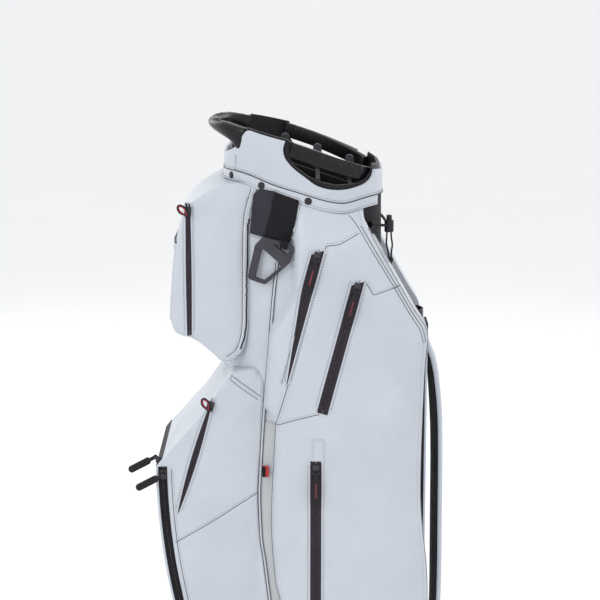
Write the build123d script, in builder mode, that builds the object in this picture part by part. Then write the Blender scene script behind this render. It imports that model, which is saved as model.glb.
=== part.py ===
"""Golf staff bag: 15-way club tube in a moulded base and top ring, with soft pockets, zips and strap.

Frame: origin on the ground under the middle of the base, +Z up, -X to the front (ball pocket),
+X to the back (umbrella well and shoulder strap), -Y the side that carries the towel ring.
"""
from build123d import *
from math import asin, atan2, cos, hypot, pi, radians, sin, tan
import os

os.makedirs("parts", exist_ok=True)

# ---------------------------------------------------------------- driving dimensions (millimetres)
AXIS_X = -4.0                    # the club tube's middle, a little forward of the base's
COLLAR = (224.0, 240.0, 100.0)   # collar outline: front-to-back, side-to-side, corner radius
COLLAR_WALL = 4.0
RING_WALL = 5.0
SKIN_WALL = 3.0
TUBE_WALL = 4.0
GAP = 0.3                        # air between neighbouring soft solids

SOLE_HEIGHT = 10.0
CUP_TOP = 96.0
CUP_FLOOR = 6.0
TUBE_FOOT = SOLE_HEIGHT + CUP_FLOOR

RIM = [(-130, 912), (-82, 903), (-25, 889), (93, 849), (130, 834)]   # collar's top edge, side view
SEAM_HEIGHT = 822.0              # collar seam where it crosses X = 0
SEAM_FALL = 0.128
BAND_HEIGHT = 14.0
LIP = 2.5                        # moulded ring above the collar

ROW_Y = 31.0                     # the two full-length divider walls
COLUMNS_X = (-74.0, -30.0, 16.0, 62.0)
PANEL_THICKNESS = 2.0
CAP_WIDTH = 6.0
CAP_DEPTH = 38.0                 # divider caps lie this far below the rim
CAP_HEIGHT = 14.0

FACE_Y = 142.0                   # flat of the side pockets
BALL_Y = 105.0                   # flat of the ball pocket
UPPER_Y = 96.0                   # flat of the upper front pocket

UMBRELLA_X, UMBRELLA_Y = 142.0, -32.0
UMBRELLA_BORE_R = 24.0
UMBRELLA_WALL = 2.0
UMBRELLA_TOP = 640.0

CORD_D = 4.0
TAIL_D = 2.4
CORD_ROUTE = [(93, -83, 769), (106, -74, 767), (117, -60, 764), (114.5, -29, 762),
              (114, 8, 761), (109, 48, 763), (99, 76, 766)]
LOCK_AT = (116.3, -61.3, 764.0)
LOCK_R = 6.5
LOCK_HEIGHT = 17.0


# ---------------------------------------------------------------- shared outlines
def height_on(line, x):
    """Height of a side-view polyline at x."""
    for (x0, z0), (x1, z1) in zip(line, line[1:]):
        if x0 <= x <= x1:
            return z0 + (z1 - z0) * (x - x0) / (x1 - x0)
    return line[0][1] if x < line[0][0] else line[-1][1]


def seam(x, drop=0.0):
    return (x, SEAM_HEIGHT - SEAM_FALL * x - drop)


def rim_below(drop):
    return [(x, z - drop) for x, z in RIM]


def oval(grow, mode=Mode.ADD):
    """The bag's plan outline, grown or shrunk evenly from the collar's outer face."""
    length, width, radius = COLLAR
    with Locations((AXIS_X, 0)):
        RectangleRounded(length + 2 * grow, width + 2 * grow, radius + grow, mode=mode)


def outline(points, mode=Mode.ADD):
    """A closed face from its corners, in the sketch's own plane."""
    Polygon(*points, align=None, mode=mode)


def save(builder, name):
    builder.part.label = name
    export_step(builder.part, f"parts/{name}.step")


SKIN_GROW = -3.0                       # outer face of the body skin, from the collar outline
TUBE_GROW = SKIN_GROW - SKIN_WALL - GAP
RING_GROW = -COLLAR_WALL - 0.2

CUT_OUT = [(-29, 930), (-27, 866), (-20, 854), (0, 839), (20, 830), (40, 825), (66, 825),
           (84, 831), (92, 841), (94, 852), (96, 930)]
FRONT_NOTCH = [(-140, 930), (-140, 857), (-106, 858), (-99, 864), (-82, 903), (-79, 912), (-79, 930)]
RING_NOTCH = [(-140, 930), (-140, 859), (-106, 860), (-98.4, 864), (-81.4, 903), (-78.4, 912), (-78.4, 930)]
FRONT_EDGE = [(-180, 800), (-99.4, 800), (-99.4, 864), (-82.4, 903), (-79.4, 912), (-79.4, 940), (-180, 940)]
MOUTH = [(52, 797), (60, 793), (81, 774), (116, 717), (150, 652), (172, 611)]   # pocket's back edge

# ---------------------------------------------------------------- base
SCREW_RING = [(AXIS_X + 88 * cos(radians(a)), 92 * sin(radians(a))) for a in range(30, 390, 60)]

with BuildPart() as base_sole:
    with BuildSketch():
        oval(3)
    extrude(amount=SOLE_HEIGHT)
    with BuildSketch(Plane.XY):
        with Locations((AXIS_X, 0)):
            with GridLocations(0, 28, 1, 7):
                SlotOverall(150, 5)
    extrude(amount=2.5, mode=Mode.SUBTRACT)
    with Locations(*[(x, y, 0) for x, y in SCREW_RING]):
        Cylinder(5.0, 5.0, align=(Align.CENTER, Align.CENTER, Align.MIN), mode=Mode.SUBTRACT)
        Cylinder(2.3, SOLE_HEIGHT, align=(Align.CENTER, Align.CENTER, Align.MIN), mode=Mode.SUBTRACT)
    fillet(base_sole.faces().sort_by(Axis.Z)[0].outer_wire().edges(), 3)
save(base_sole, "base_sole")

with BuildPart() as base_cup:
    with BuildSketch(Plane.XY.offset(SOLE_HEIGHT)):
        oval(3)
    extrude(amount=CUP_TOP - SOLE_HEIGHT)
    with BuildSketch(Plane.XY.offset(TUBE_FOOT)):
        oval(TUBE_GROW + GAP)
    extrude(amount=CUP_TOP, mode=Mode.SUBTRACT)
    with Locations(*[(x, y, SOLE_HEIGHT) for x, y in SCREW_RING]):
        Cylinder(2.3, CUP_FLOOR, align=(Align.CENTER, Align.CENTER, Align.MIN), mode=Mode.SUBTRACT)
save(base_cup, "base_cup")

with BuildPart() as base_screws:
    with Locations(*[(x, y, 2.0) for x, y in SCREW_RING]):
        Cylinder(4.6, 2.8, align=(Align.CENTER, Align.CENTER, Align.MIN))
        Cylinder(2.1, 13.5, align=(Align.CENTER, Align.CENTER, Align.MIN))
save(base_screws, "base_screws")

# ---------------------------------------------------------------- club tube and dividers
with BuildPart() as club_tube:
    with BuildSketch(Plane.XY.offset(TUBE_FOOT)):
        oval(TUBE_GROW)
        oval(TUBE_GROW - TUBE_WALL, mode=Mode.SUBTRACT)
    extrude(amount=840)
    with BuildSketch(Plane.XZ):
        outline([(-140, 0), seam(-140, 16), seam(140, 16), (140, 0)])
    extrude(amount=200, both=True, mode=Mode.INTERSECT)
save(club_tube, "club_tube")


def divider_walls(width, inset):
    """Plan of the two long walls and the twelve short ones between them."""
    with Locations((0, -ROW_Y), (0, ROW_Y)):
        Rectangle(300, width)
    gap = 0.5 + width / 2
    for x in COLUMNS_X:
        with Locations((x, 0)):
            Rectangle(width, 2 * (ROW_Y - gap))
        for side in (-1, 1):
            with Locations((x, side * (ROW_Y + gap + 60))):
                Rectangle(width, 120)
    oval(inset, mode=Mode.INTERSECT)


with BuildPart() as divider_panels:
    with BuildSketch(Plane.XY.offset(TUBE_FOOT + 4)):
        divider_walls(PANEL_THICKNESS, TUBE_GROW - TUBE_WALL - GAP)
    extrude(amount=900)
    with BuildSketch(Plane.XZ):
        outline([(-130, 0)] + rim_below(CAP_DEPTH + CAP_HEIGHT + 0.2) + [(130, 0)])
    extrude(amount=200, both=True, mode=Mode.INTERSECT)
save(divider_panels, "divider_panels")

with BuildPart() as divider_caps:
    with BuildSketch(Plane.XY.offset(700)):
        divider_walls(CAP_WIDTH, RING_GROW - RING_WALL - GAP)
    extrude(amount=300)
    with BuildSketch(Plane.XZ):
        outline(rim_below(CAP_DEPTH) + rim_below(CAP_DEPTH + CAP_HEIGHT)[::-1])
    extrude(amount=200, both=True, mode=Mode.INTERSECT)
save(divider_caps, "divider_caps")

with BuildPart() as divider_lugs:
    for x in COLUMNS_X[1:]:
        top = height_on(RIM, x) - 3
        foot = height_on(RIM, x + 6) - CAP_DEPTH + 2.5
        with BuildSketch(Plane.XZ.offset(-3.5)):
            with Locations((x, (top + foot) / 2)):
                RectangleRounded(12, top - foot, 5.8)
        extrude(amount=7)
save(divider_lugs, "divider_lugs")

# ---------------------------------------------------------------- moulded top ring and its handles
with BuildPart() as top_ring:
    with BuildSketch(Plane.XY.offset(700)):
        oval(RING_GROW)
        oval(RING_GROW - RING_WALL, mode=Mode.SUBTRACT)
    extrude(amount=300)
    with BuildSketch(Plane.XZ):
        outline([seam(-130, 12), seam(130, 12)] + [(x, z + LIP) for x, z in RIM[::-1]])
    extrude(amount=200, both=True, mode=Mode.INTERSECT)
    with BuildSketch(Plane.XZ):
        outline(CUT_OUT)
        offset(amount=-3.5, kind=Kind.INTERSECTION)
    extrude(amount=200, both=True, mode=Mode.SUBTRACT)
    with BuildSketch(Plane.XZ):
        outline(RING_NOTCH)
    extrude(amount=200, both=True, mode=Mode.SUBTRACT)
    with BuildSketch(Plane.XZ):
        outline([(-32, 940), (100, 940), (100, 900), (-32, 945)])
    extrude(amount=200, both=True, mode=Mode.SUBTRACT)
save(top_ring, "top_ring")


def side_grip(name, side):
    """A ribbed bar that bridges one side cut-out, with a tab inside the ring at each end."""
    with BuildPart() as grip:
        for near_x, far_x, grow in ((-22.5, 78, RING_GROW), (-34, 99, RING_GROW - RING_WALL - 0.2)):
            with BuildSketch(Plane.XY.offset(700)):
                oval(grow)
                oval(RING_GROW - 13.5, mode=Mode.SUBTRACT)
                with Locations(((near_x + far_x) / 2, side * 80)):
                    Rectangle(far_x - near_x, 100, mode=Mode.INTERSECT)
            extrude(amount=300)
        with BuildSketch(Plane.XZ):
            outline(rim_below(0) + rim_below(21)[::-1])
        extrude(amount=200, both=True, mode=Mode.INTERSECT)
    save(grip, name)
    return grip


side_grip_near = side_grip("side_grip_near", -1)
side_grip_far = side_grip("side_grip_far", 1)

HANDLE_SIDE = [(-139, 903), (-136, 907), (-128, 910.5), (-112, 912), (-95, 907), (-79, 904), (-70, 868),
               (-97, 868), (-103, 880), (-137, 898)]
with BuildPart() as front_handle:
    with BuildSketch(Plane.XY.offset(840)):
        with Locations((-70, 0)):
            Ellipse(69, 92.7)
            Ellipse(52, 75.7, mode=Mode.SUBTRACT)
        with Locations((-120, 0)):
            Rectangle(90, 240, mode=Mode.INTERSECT)
    extrude(amount=100)
    with BuildSketch(Plane.XZ):
        outline(HANDLE_SIDE)
    extrude(amount=200, both=True, mode=Mode.INTERSECT)
    with BuildSketch(Plane.XZ):
        outline(FRONT_EDGE)
    extrude(amount=200, both=True, mode=Mode.INTERSECT)
save(front_handle, "front_handle")

# ---------------------------------------------------------------- collar
with BuildPart() as collar_shell:
    with BuildSketch(Plane.XY.offset(700)):
        oval(0)
        oval(-COLLAR_WALL, mode=Mode.SUBTRACT)
    extrude(amount=300)
    with BuildSketch(Plane.XZ):
        outline([seam(-130), seam(130)] + RIM[::-1])
    extrude(amount=200, both=True, mode=Mode.INTERSECT)
    with BuildSketch(Plane.XZ):
        outline(CUT_OUT)
    extrude(amount=200, both=True, mode=Mode.SUBTRACT)
    with BuildSketch(Plane.XZ):
        outline(FRONT_NOTCH)
    extrude(amount=200, both=True, mode=Mode.SUBTRACT)
save(collar_shell, "collar_shell")

with BuildPart() as collar_band:
    with BuildSketch(Plane.XY.offset(700)):
        oval(0.8)
        oval(SKIN_GROW + GAP, mode=Mode.SUBTRACT)
    extrude(amount=300)
    with BuildSketch(Plane.XZ):
        outline([seam(-130, GAP), seam(130, GAP), seam(130, BAND_HEIGHT), seam(-130, BAND_HEIGHT)])
    extrude(amount=200, both=True, mode=Mode.INTERSECT)
save(collar_band, "collar_band")

RIVET_R = 5.0
RIVETS = [(116.5, 0), (90, 18.5), (156, 0)]      # turn round the corner arc from +X, then shift along X


def on_oval(grow, turn, shift=0.0):
    """Point on the rear or front corner arc of the grown outline, on the +Y side."""
    length, width, radius = COLLAR
    middle = AXIS_X + (length / 2 - radius) * (1 if turn < 90 else -1)
    return (middle + shift + (radius + grow) * cos(radians(turn)),
            width / 2 - radius + (radius + grow) * sin(radians(turn)))


with BuildPart() as collar_rivets:
    for turn, shift in RIVETS:
        x, y = on_oval(0.9, turn, shift)
        for side in (-1, 1):
            way = (cos(radians(turn)), side * sin(radians(turn)), 0)
            with BuildSketch(Plane((x, side * y, seam(x, BAND_HEIGHT / 2)[1]), z_dir=way)):
                Circle(RIVET_R)
            extrude(amount=2.4)
save(collar_rivets, "collar_rivets")

# ---------------------------------------------------------------- body cover
with BuildPart() as body_skin:
    with BuildSketch(Plane.XY.offset(CUP_TOP + GAP)):
        oval(SKIN_GROW)
        oval(SKIN_GROW - SKIN_WALL, mode=Mode.SUBTRACT)
    extrude(amount=800)
    with BuildSketch(Plane.XZ):
        outline([(-140, 0), seam(-140, BAND_HEIGHT + GAP), seam(140, BAND_HEIGHT + GAP), (140, 0)])
    extrude(amount=200, both=True, mode=Mode.INTERSECT)
save(body_skin, "body_skin")

with BuildPart() as spine_panel:
    with BuildSketch(Plane.XY.offset(CUP_TOP + 6)):
        oval(SKIN_GROW + 3)
        oval(SKIN_GROW + GAP, mode=Mode.SUBTRACT)
        with Locations((105, 0)):
            Rectangle(60, 118, mode=Mode.INTERSECT)
    extrude(amount=690)
save(spine_panel, "spine_panel")

# ---------------------------------------------------------------- pockets (plain closed soft solids)
GUSSET_EDGE = [(-49, 440), (-51, 335), (-41, 240), (-26, 100)]      # side pocket's front edge, low down
SIDE_EDGE = [(-8, 802), (-15, 760), (-16, 700), (-32, 684), (-50, 660), (-57, 578), (-61, 519)] + GUSSET_EDGE
SIDE_BACK = [(150, 100), (166, 112), (174, 184), (166, 367), (168, 500)]


def side_pocket(name, side):
    """Full-length garment pocket down one side, its back edge wrapping the umbrella well."""
    with BuildPart() as pocket:
        with BuildSketch(Plane.XY.offset(90)):
            plan = [(-70, 80), (-66, 118), (-40, 136), (-34, FACE_Y), (100, FACE_Y), (150, 126),
                    (172, 100), (175, 66), (60, 66)]
            outline([(x, side * y) for x, y in plan])
            oval(SKIN_GROW + GAP, mode=Mode.SUBTRACT)
        extrude(amount=720)
        with BuildSketch(Plane.XZ):
            outline(SIDE_EDGE + SIDE_BACK + MOUTH[::-1])
        extrude(amount=200, both=True, mode=Mode.INTERSECT)
        with BuildSketch(Plane.YZ.offset(-100)):
            lean = [(side * (FACE_Y - 20), 812), (side * FACE_Y, 752), (side * 200, 752), (side * 200, 830)]
            outline(lean)
        extrude(amount=300, mode=Mode.SUBTRACT)
    save(pocket, name)
    return pocket


side_pocket_near = side_pocket("side_pocket_near", -1)
side_pocket_far = side_pocket("side_pocket_far", 1)

with BuildPart() as upper_pocket:
    with BuildSketch(Plane.XY.offset(540)):
        half = [(-60, 104), (-82, UPPER_Y + 4), (-105, UPPER_Y), (-172, UPPER_Y), (-188, 80), (-190, 0)]
        outline(half + [(x, -y) for x, y in half[-2::-1]])
        oval(SKIN_GROW + GAP, mode=Mode.SUBTRACT)
        with Locations((-141, 0)):
            Rectangle(120, 260, mode=Mode.INTERSECT)
    extrude(amount=300)
    with BuildSketch(Plane.XZ):
        outline([(-82, 818), (-112, 821), (-134, 817), (-158, 803), (-170, 786), (-180, 745), (-188, 660),
                 (-188, 622), (-178, 613), (-157, 606), (-131, 586), (-119, 576), (-105, 576),
                 (-89, 589), (-81, 619)])
    extrude(amount=200, both=True, mode=Mode.INTERSECT)
save(upper_pocket, "upper_pocket")

ZIP_ARC_R = 1000.0
ZIP_TOP = (-203.0, 421.0)
ZIP_LOW = (-181.0, 222.0)
half_chord = hypot(ZIP_LOW[0] - ZIP_TOP[0], ZIP_LOW[1] - ZIP_TOP[1]) / 2
chord_turn = atan2(ZIP_TOP[0] - ZIP_LOW[0], ZIP_TOP[1] - ZIP_LOW[1])
reach = (ZIP_ARC_R ** 2 - half_chord ** 2) ** 0.5
ZIP_CENTRE = ((ZIP_TOP[0] + ZIP_LOW[0]) / 2 + reach * cos(chord_turn),
              (ZIP_TOP[1] + ZIP_LOW[1]) / 2 - reach * sin(chord_turn))


def on_zip_arc(z, inward=0.0):
    """Point of the ball-pocket zip's arc at height z, moved inward along the radius."""
    radius = ZIP_ARC_R - inward
    turn = asin((z - ZIP_CENTRE[1]) / ZIP_ARC_R)
    return (ZIP_CENTRE[0] - radius * cos(turn), ZIP_CENTRE[1] + radius * sin(turn))


with BuildPart() as ball_pocket:
    with BuildSketch(Plane.XY.offset(30)):
        with Locations((-160, 0)):
            Rectangle(182, 2 * BALL_Y)
        oval(4, mode=Mode.SUBTRACT)
    extrude(amount=560)
    with BuildSketch(Plane.XZ):
        outline([(-69, 570), (-104, 562), (-150, 496), (-204, 436), (-213, 424)]
                + [on_zip_arc(z, -11) for z in (405, 350, 290, 230, 170, 120)]
                + [(-150, 60), (-120, 48), (-69, 48)])
    extrude(amount=200, both=True, mode=Mode.INTERSECT)
save(ball_pocket, "ball_pocket")


def gusset(name, side):
    """Strip of cover between the ball pocket and a side pocket."""
    with BuildPart() as strip:
        with BuildSketch(Plane.XY.offset(100)):
            oval(SKIN_GROW + 3)
            oval(SKIN_GROW + GAP, mode=Mode.SUBTRACT)
            with Locations((-55, side * 100)):
                Rectangle(60, 80, mode=Mode.INTERSECT)
        extrude(amount=600)
        with BuildSketch(Plane.XZ):
            outline([(-68, 100), (-68, 500), (-63, 514)] + [(x - 1.5, z) for x, z in GUSSET_EDGE])
        extrude(amount=200, both=True, mode=Mode.INTERSECT)
    save(strip, name)
    return strip


gusset_near = gusset("gusset_near", -1)
gusset_far = gusset("gusset_far", 1)

with BuildPart() as side_tab:
    with BuildSketch(Plane.XZ.offset(113.7)):
        with Locations((-57.5, 421)):
            RectangleRounded(9, 16, 1)
    extrude(amount=3)
save(side_tab, "side_tab")

# ---------------------------------------------------------------- umbrella well at the back
with BuildPart() as back_panel:
    with BuildSketch(Plane.XY.offset(84)):
        with Locations((171, 0)):
            Rectangle(3, 131)
    extrude(amount=532)
save(back_panel, "back_panel")

with BuildPart() as umbrella_tube:
    with Locations((UMBRELLA_X, UMBRELLA_Y, CUP_TOP + 8)):
        Cylinder(UMBRELLA_BORE_R + UMBRELLA_WALL, UMBRELLA_TOP - CUP_TOP - 8,
                 align=(Align.CENTER, Align.CENTER, Align.MIN))
    with Locations((UMBRELLA_X, UMBRELLA_Y, CUP_TOP + 14)):
        Cylinder(UMBRELLA_BORE_R, UMBRELLA_TOP, align=(Align.CENTER, Align.CENTER, Align.MIN),
                 mode=Mode.SUBTRACT)
save(umbrella_tube, "umbrella_tube")


def corner_radii(route, share=0.45):
    """Largest tangent-arc radius that the two runs at each inner point leave room for."""
    radii = []
    for before, here, after in zip(route, route[1:], route[2:]):
        into = Vector(*here) - Vector(*before)
        out = Vector(*after) - Vector(*here)
        turn = radians(into.get_angle(out))
        radii.append(share * min(into.length, out.length) / tan(turn / 2))
    return radii


def cord_tube(route, diameter):
    """A round cord along a hand-chosen route of straight runs and tangent arcs."""
    radii = corner_radii(route)
    with BuildPart() as tube:
        with BuildLine() as path:
            FilletPolyline(*route, radius=radii)
        with BuildSketch(Plane(route[0], z_dir=Vector(*route[1]) - Vector(*route[0]))):
            Circle(diameter / 2)
        sweep()
    length = path.wires()[0].length
    print("cord radii", [round(r) for r in radii], "length", round(length, 1),
          "section times length", round(pi * diameter ** 2 / 4 * length), "volume", round(tube.part.volume))
    return tube


umbrella_cord = cord_tube(CORD_ROUTE, CORD_D)
save(umbrella_cord, "umbrella_cord")

lock_x, lock_y, lock_z = LOCK_AT
TAIL_TOP = lock_z - LOCK_HEIGHT / 2
KNOT_Z = 716.0
TAIL_ROUTES = [[(lock_x + s * 3, lock_y, TAIL_TOP), (lock_x + s * 3, lock_y, TAIL_TOP - 8),
                (lock_x + s * 4.6 + 0.7, lock_y, TAIL_TOP - 18), (lock_x + s * 2 + 1.5, lock_y, KNOT_Z + 11),
                (lock_x + s * 2 + 1.5, lock_y, KNOT_Z + 4)] for s in (-1, 1)]
tail_tubes = [cord_tube(tail, TAIL_D) for tail in TAIL_ROUTES]
with BuildPart() as cord_tails:
    add([tube.part for tube in tail_tubes])
save(cord_tails, "cord_tails")

with BuildPart() as cord_knot:
    with Locations((lock_x + 1.5, lock_y, KNOT_Z)):
        Cylinder(4.5, 8)
        fillet(cord_knot.edges(), 2)
    for s in (-1, 1):
        with Locations((lock_x + 1.5 + s * 2, lock_y, KNOT_Z - 9)):
            Cylinder(TAIL_D / 2, 12)
save(cord_knot, "cord_knot")

with BuildPart() as cord_lock:
    with Locations(LOCK_AT):
        Cylinder(LOCK_R, LOCK_HEIGHT)
        fillet(cord_lock.edges(), 1.2)
    along = Vector(*CORD_ROUTE[2]) - Vector(*CORD_ROUTE[1])
    with Locations(Plane(LOCK_AT, z_dir=along)):
        Cylinder(CORD_D / 2 + 0.6, 4 * LOCK_R, mode=Mode.SUBTRACT)
    with Locations((lock_x, lock_y, lock_z + LOCK_HEIGHT / 2)):
        Cylinder(4.2, 9, mode=Mode.SUBTRACT)
save(cord_lock, "cord_lock")

with BuildPart() as cord_lock_button:
    with Locations((lock_x, lock_y, lock_z + LOCK_HEIGHT / 2 - 0.5)):
        Cylinder(3.8, 7.5, align=(Align.CENTER, Align.CENTER, Align.MIN))
        fillet(cord_lock_button.edges().group_by(Axis.Z)[-1], 1)
save(cord_lock_button, "cord_lock_button")

with BuildPart() as cord_anchors:
    for end, toward in ((CORD_ROUTE[0], CORD_ROUTE[1]), (CORD_ROUTE[-1], CORD_ROUTE[-2])):
        exit_way = Vector(*toward) - Vector(*end)
        with BuildSketch(Plane(end, z_dir=-exit_way)):
            Circle(5)
        extrude(amount=5)
save(cord_anchors, "cord_anchors")

# ---------------------------------------------------------------- towel strap and ring
RING_PLANE = Plane(origin=(-40, -121.5, 753), x_dir=(0.951, -0.309, 0), z_dir=(-0.309, -0.951, 0))
RING_OUTLINE = [(-20.5, 5), (-32, -7.4), (-38.4, -34), (-42.8, -52), (-40.7, -55.3), (-36, -57), (-19, -61.5),
                (-15, -60), (18.3, -29.4), (24.2, -8.5), (20, -3)]
RING_WINDOW = [(-22, -10), (2.5, -29.7), (5.5, -35.2), (-19, -56), (-32.1, -51.9)]
RING_SLOT = [(-5.5, -4.3), (17.7, -10.8), (14.8, -18.8)]
RING_THICKNESS = 5.0
BAR = [(-18, 1.2), (20, -6.4)]                # middle of the ring's top bar, in the ring's plane

with BuildPart() as towel_ring:
    with BuildSketch(RING_PLANE.offset(-RING_THICKNESS / 2)):
        outline(RING_OUTLINE)
        outline(RING_WINDOW, Mode.SUBTRACT)
        outline(RING_SLOT, Mode.SUBTRACT)
    extrude(amount=RING_THICKNESS)
save(towel_ring, "towel_ring")

(u0, v0), (u1, v1) = BAR
bar_start = RING_PLANE.from_local_coords(Vector(u0, v0, 0))
bar_end = RING_PLANE.from_local_coords(Vector(u1, v1, 0))
HEM_START, HEM_LENGTH = 24.5, 9.5             # hem loop along the ring's top bar
HEM_R, HEM_BORE_R = 6.5, 5.4
with BuildPart() as towel_strap:
    with BuildSketch(Plane.XY.offset(700)):
        oval(SKIN_GROW + 3.5)
        oval(SKIN_GROW + GAP, mode=Mode.SUBTRACT)
        with Locations((-46, -100)):
            Rectangle(80, 80, mode=Mode.INTERSECT)
    extrude(amount=130)
    with BuildSketch(Plane.XZ):
        outline([seam(-63, BAND_HEIGHT + GAP), seam(-9.5, BAND_HEIGHT + GAP), (-19, 762), (-19, 757), (-74, 765)])
    extrude(amount=200, both=True, mode=Mode.INTERSECT)
    way = (bar_end - bar_start).normalized()
    hem_plane = Plane(bar_start + way * HEM_START, z_dir=way)
    with BuildSketch(hem_plane):
        Circle(HEM_R)
    extrude(amount=HEM_LENGTH)
    neck = RING_PLANE.offset(-HEM_BORE_R - 1)
    with BuildSketch(neck):
        with Locations((11, 3)):
            Rectangle(9, 12)
    extrude(amount=2)
    with BuildSketch(hem_plane):
        Circle(HEM_BORE_R)
    extrude(amount=HEM_LENGTH, mode=Mode.SUBTRACT)
save(towel_strap, "towel_strap")

# ---------------------------------------------------------------- shoulder strap
STRAP_OUTER = [(176, 590), (186, 560), (192.5, 520), (197, 460), (198.5, 344), (198.5, 200), (193, 140), (178, 109)]
LINING_OUTER = [(180, 570), (188.6, 520), (193.4, 460), (195, 344), (195, 200), (189, 141), (179.4, 118)]
LINING_INNER = [(176, 572), (180, 520), (184, 460), (186, 344), (187, 200), (183, 141), (177, 120)]
STRAP_COVER = 2.5

with BuildPart() as strap_cover:
    with BuildSketch(Plane.XZ.offset(-31)):
        with BuildLine():
            cover_outer = Spline(*STRAP_OUTER)
            cover_inner = Spline(*[(x - STRAP_COVER, z) for x, z in STRAP_OUTER])
            Line(cover_outer @ 0, cover_inner @ 0)
            Line(cover_outer @ 1, cover_inner @ 1)
        make_face()
    extrude(amount=62)
save(strap_cover, "strap_cover")

with BuildPart() as strap_lining:
    with BuildSketch(Plane.XZ.offset(-29)):
        with BuildLine():
            lining_outer = Spline(*LINING_OUTER)
            lining_inner = Spline(*LINING_INNER)
            Line(lining_outer @ 0, lining_inner @ 0)
            Line(lining_outer @ 1, lining_inner @ 1)
        make_face()
    extrude(amount=58)
save(strap_lining, "strap_lining")

with BuildPart() as strap_anchors:
    with Locations((174.5, 0, 604)):
        Box(3, 44, 22)
    with Locations((174.5, 0, 96)):
        Box(3, 44, 20)
save(strap_anchors, "strap_anchors")

# ---------------------------------------------------------------- zips
TAPE_WIDTH, TAPE_THICKNESS = 16.0, 1.2
SLIDER_LENGTH, SLIDER_WIDTH = 13.0, 9.5
SLIDER_FLOOR, SLIDER_TOP = 1.6, 4.4           # heights above the panel
PIVOT_U, PIVOT_W = 12.0, 7.4                  # pull's hinge pin, along the zip and above the panel
PIN_R, EYE_R, TONGUE_R = 0.9, 1.25, 2.6

#        name           start (x, z)     end (x, z)       face y    pull length, width, tape width
ZIPS = [("upper",       (-163.5, 797.0), (-163.5, 618.0), -UPPER_Y, 17.0, 9.0, 11.0),
        ("slash",       (-133.0, 521.0), (-181.5, 360.0), -BALL_Y,  17.0, 9.0, 14.0),
        ("front_panel", (16.0, 742.0),   (-33.0, 560.0),  -FACE_Y,  46.0, 11.0, TAPE_WIDTH),
        ("mid_panel",   (71.0, 699.0),   (23.0, 517.0),   -FACE_Y,  46.0, 11.0, TAPE_WIDTH),
        ("lower_panel", (13.5, 440.0),   (13.5, 150.0),   -FACE_Y,  46.0, 11.0, TAPE_WIDTH),
        ("far_panel",   (30.0, 700.0),   (30.0, 250.0),   FACE_Y,   46.0, 11.0, TAPE_WIDTH)]


def zip_plane(start, end, face_y):
    """Plane on a panel: x along the zip from its closed end, z out of the panel."""
    side = 1 if face_y > 0 else -1
    along = Vector(end[0] - start[0], 0, end[1] - start[1])
    return Plane(origin=(start[0], face_y, start[1]), x_dir=along, z_dir=(0, side, 0))


def slider(plane, name):
    """Zip slider: a low body with two ears that hold the pull's hinge pin."""
    with BuildPart() as body:
        with BuildSketch(plane.offset(SLIDER_FLOOR)):
            with Locations((SLIDER_LENGTH / 2, 0)):
                RectangleRounded(SLIDER_LENGTH, SLIDER_WIDTH, 2)
        extrude(amount=SLIDER_TOP - SLIDER_FLOOR)
        with BuildSketch(plane.offset(SLIDER_TOP)):
            with Locations((PIVOT_U - 1.5, -4.1), (PIVOT_U - 1.5, 4.1)):
                Rectangle(5, 1.2)
        extrude(amount=PIVOT_W + 1.5 - SLIDER_TOP)
        pin = Plane(plane.from_local_coords(Vector(PIVOT_U, -4.6, PIVOT_W)), z_dir=plane.y_dir)
        with BuildSketch(pin):
            Circle(PIN_R)
        extrude(amount=9.2)
    save(body, f"{name}_slider")
    return body


def pull(plane, name, length, width):
    """Pull tab hung on the slider's pin: a round eye, a narrow tongue and a rounded grip."""
    hung = Plane(plane.from_local_coords(Vector(PIVOT_U, 0, PIVOT_W)), x_dir=plane.x_dir, z_dir=plane.z_dir)
    with BuildPart() as tab:
        with BuildSketch(hung.offset(-1.6)):
            with Locations((length / 2 + 3, 0)):
                RectangleRounded(length - 6, width, min(width, length - 6) / 2 - 0.2)
            with Locations((4, 0)):
                Rectangle(8, 5.2)
        extrude(amount=3.2)
        eye = Plane(hung.from_local_coords(Vector(0, -2.6, 0)), z_dir=hung.y_dir)
        with BuildSketch(eye):
            Circle(TONGUE_R)
        extrude(amount=5.2)
        with BuildSketch(eye):
            Circle(EYE_R)
        extrude(amount=5.2, mode=Mode.SUBTRACT)
    save(tab, f"{name}_pull")
    return tab


def tape(plane, name, length, width):
    """Zip tape laid flat on a panel."""
    with BuildPart() as strip:
        with BuildSketch(plane):
            with Locations((length / 2, 0)):
                RectangleRounded(length + 10, width, 3)
        extrude(amount=TAPE_THICKNESS)
    save(strip, f"{name}_tape")
    return strip


for zip_name, start, end, face_y, pull_length, pull_width, tape_width in ZIPS:
    panel = zip_plane(start, end, face_y)
    run = hypot(end[0] - start[0], end[1] - start[1])
    tape(panel, f"zip_{zip_name}", run, tape_width)
    slider(panel, f"zip_{zip_name}")
    pull(panel, f"zip_{zip_name}", pull_length, pull_width)

# the ball pocket's zip follows the pocket's curved front edge, with a slider for each way round
with BuildPart() as zip_ball_tape:
    with BuildSketch(Plane.XZ.offset(BALL_Y)):
        with BuildLine():
            outer = ThreePointArc(*[on_zip_arc(z, -TAPE_WIDTH / 2) for z in (425, 258, 90)])
            inner = ThreePointArc(*[on_zip_arc(z, TAPE_WIDTH / 2) for z in (425, 258, 90)])
            Line(outer @ 0, inner @ 0)
            Line(outer @ 1, inner @ 1)
        make_face()
    extrude(amount=TAPE_THICKNESS)
save(zip_ball_tape, "zip_ball_tape")

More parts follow.
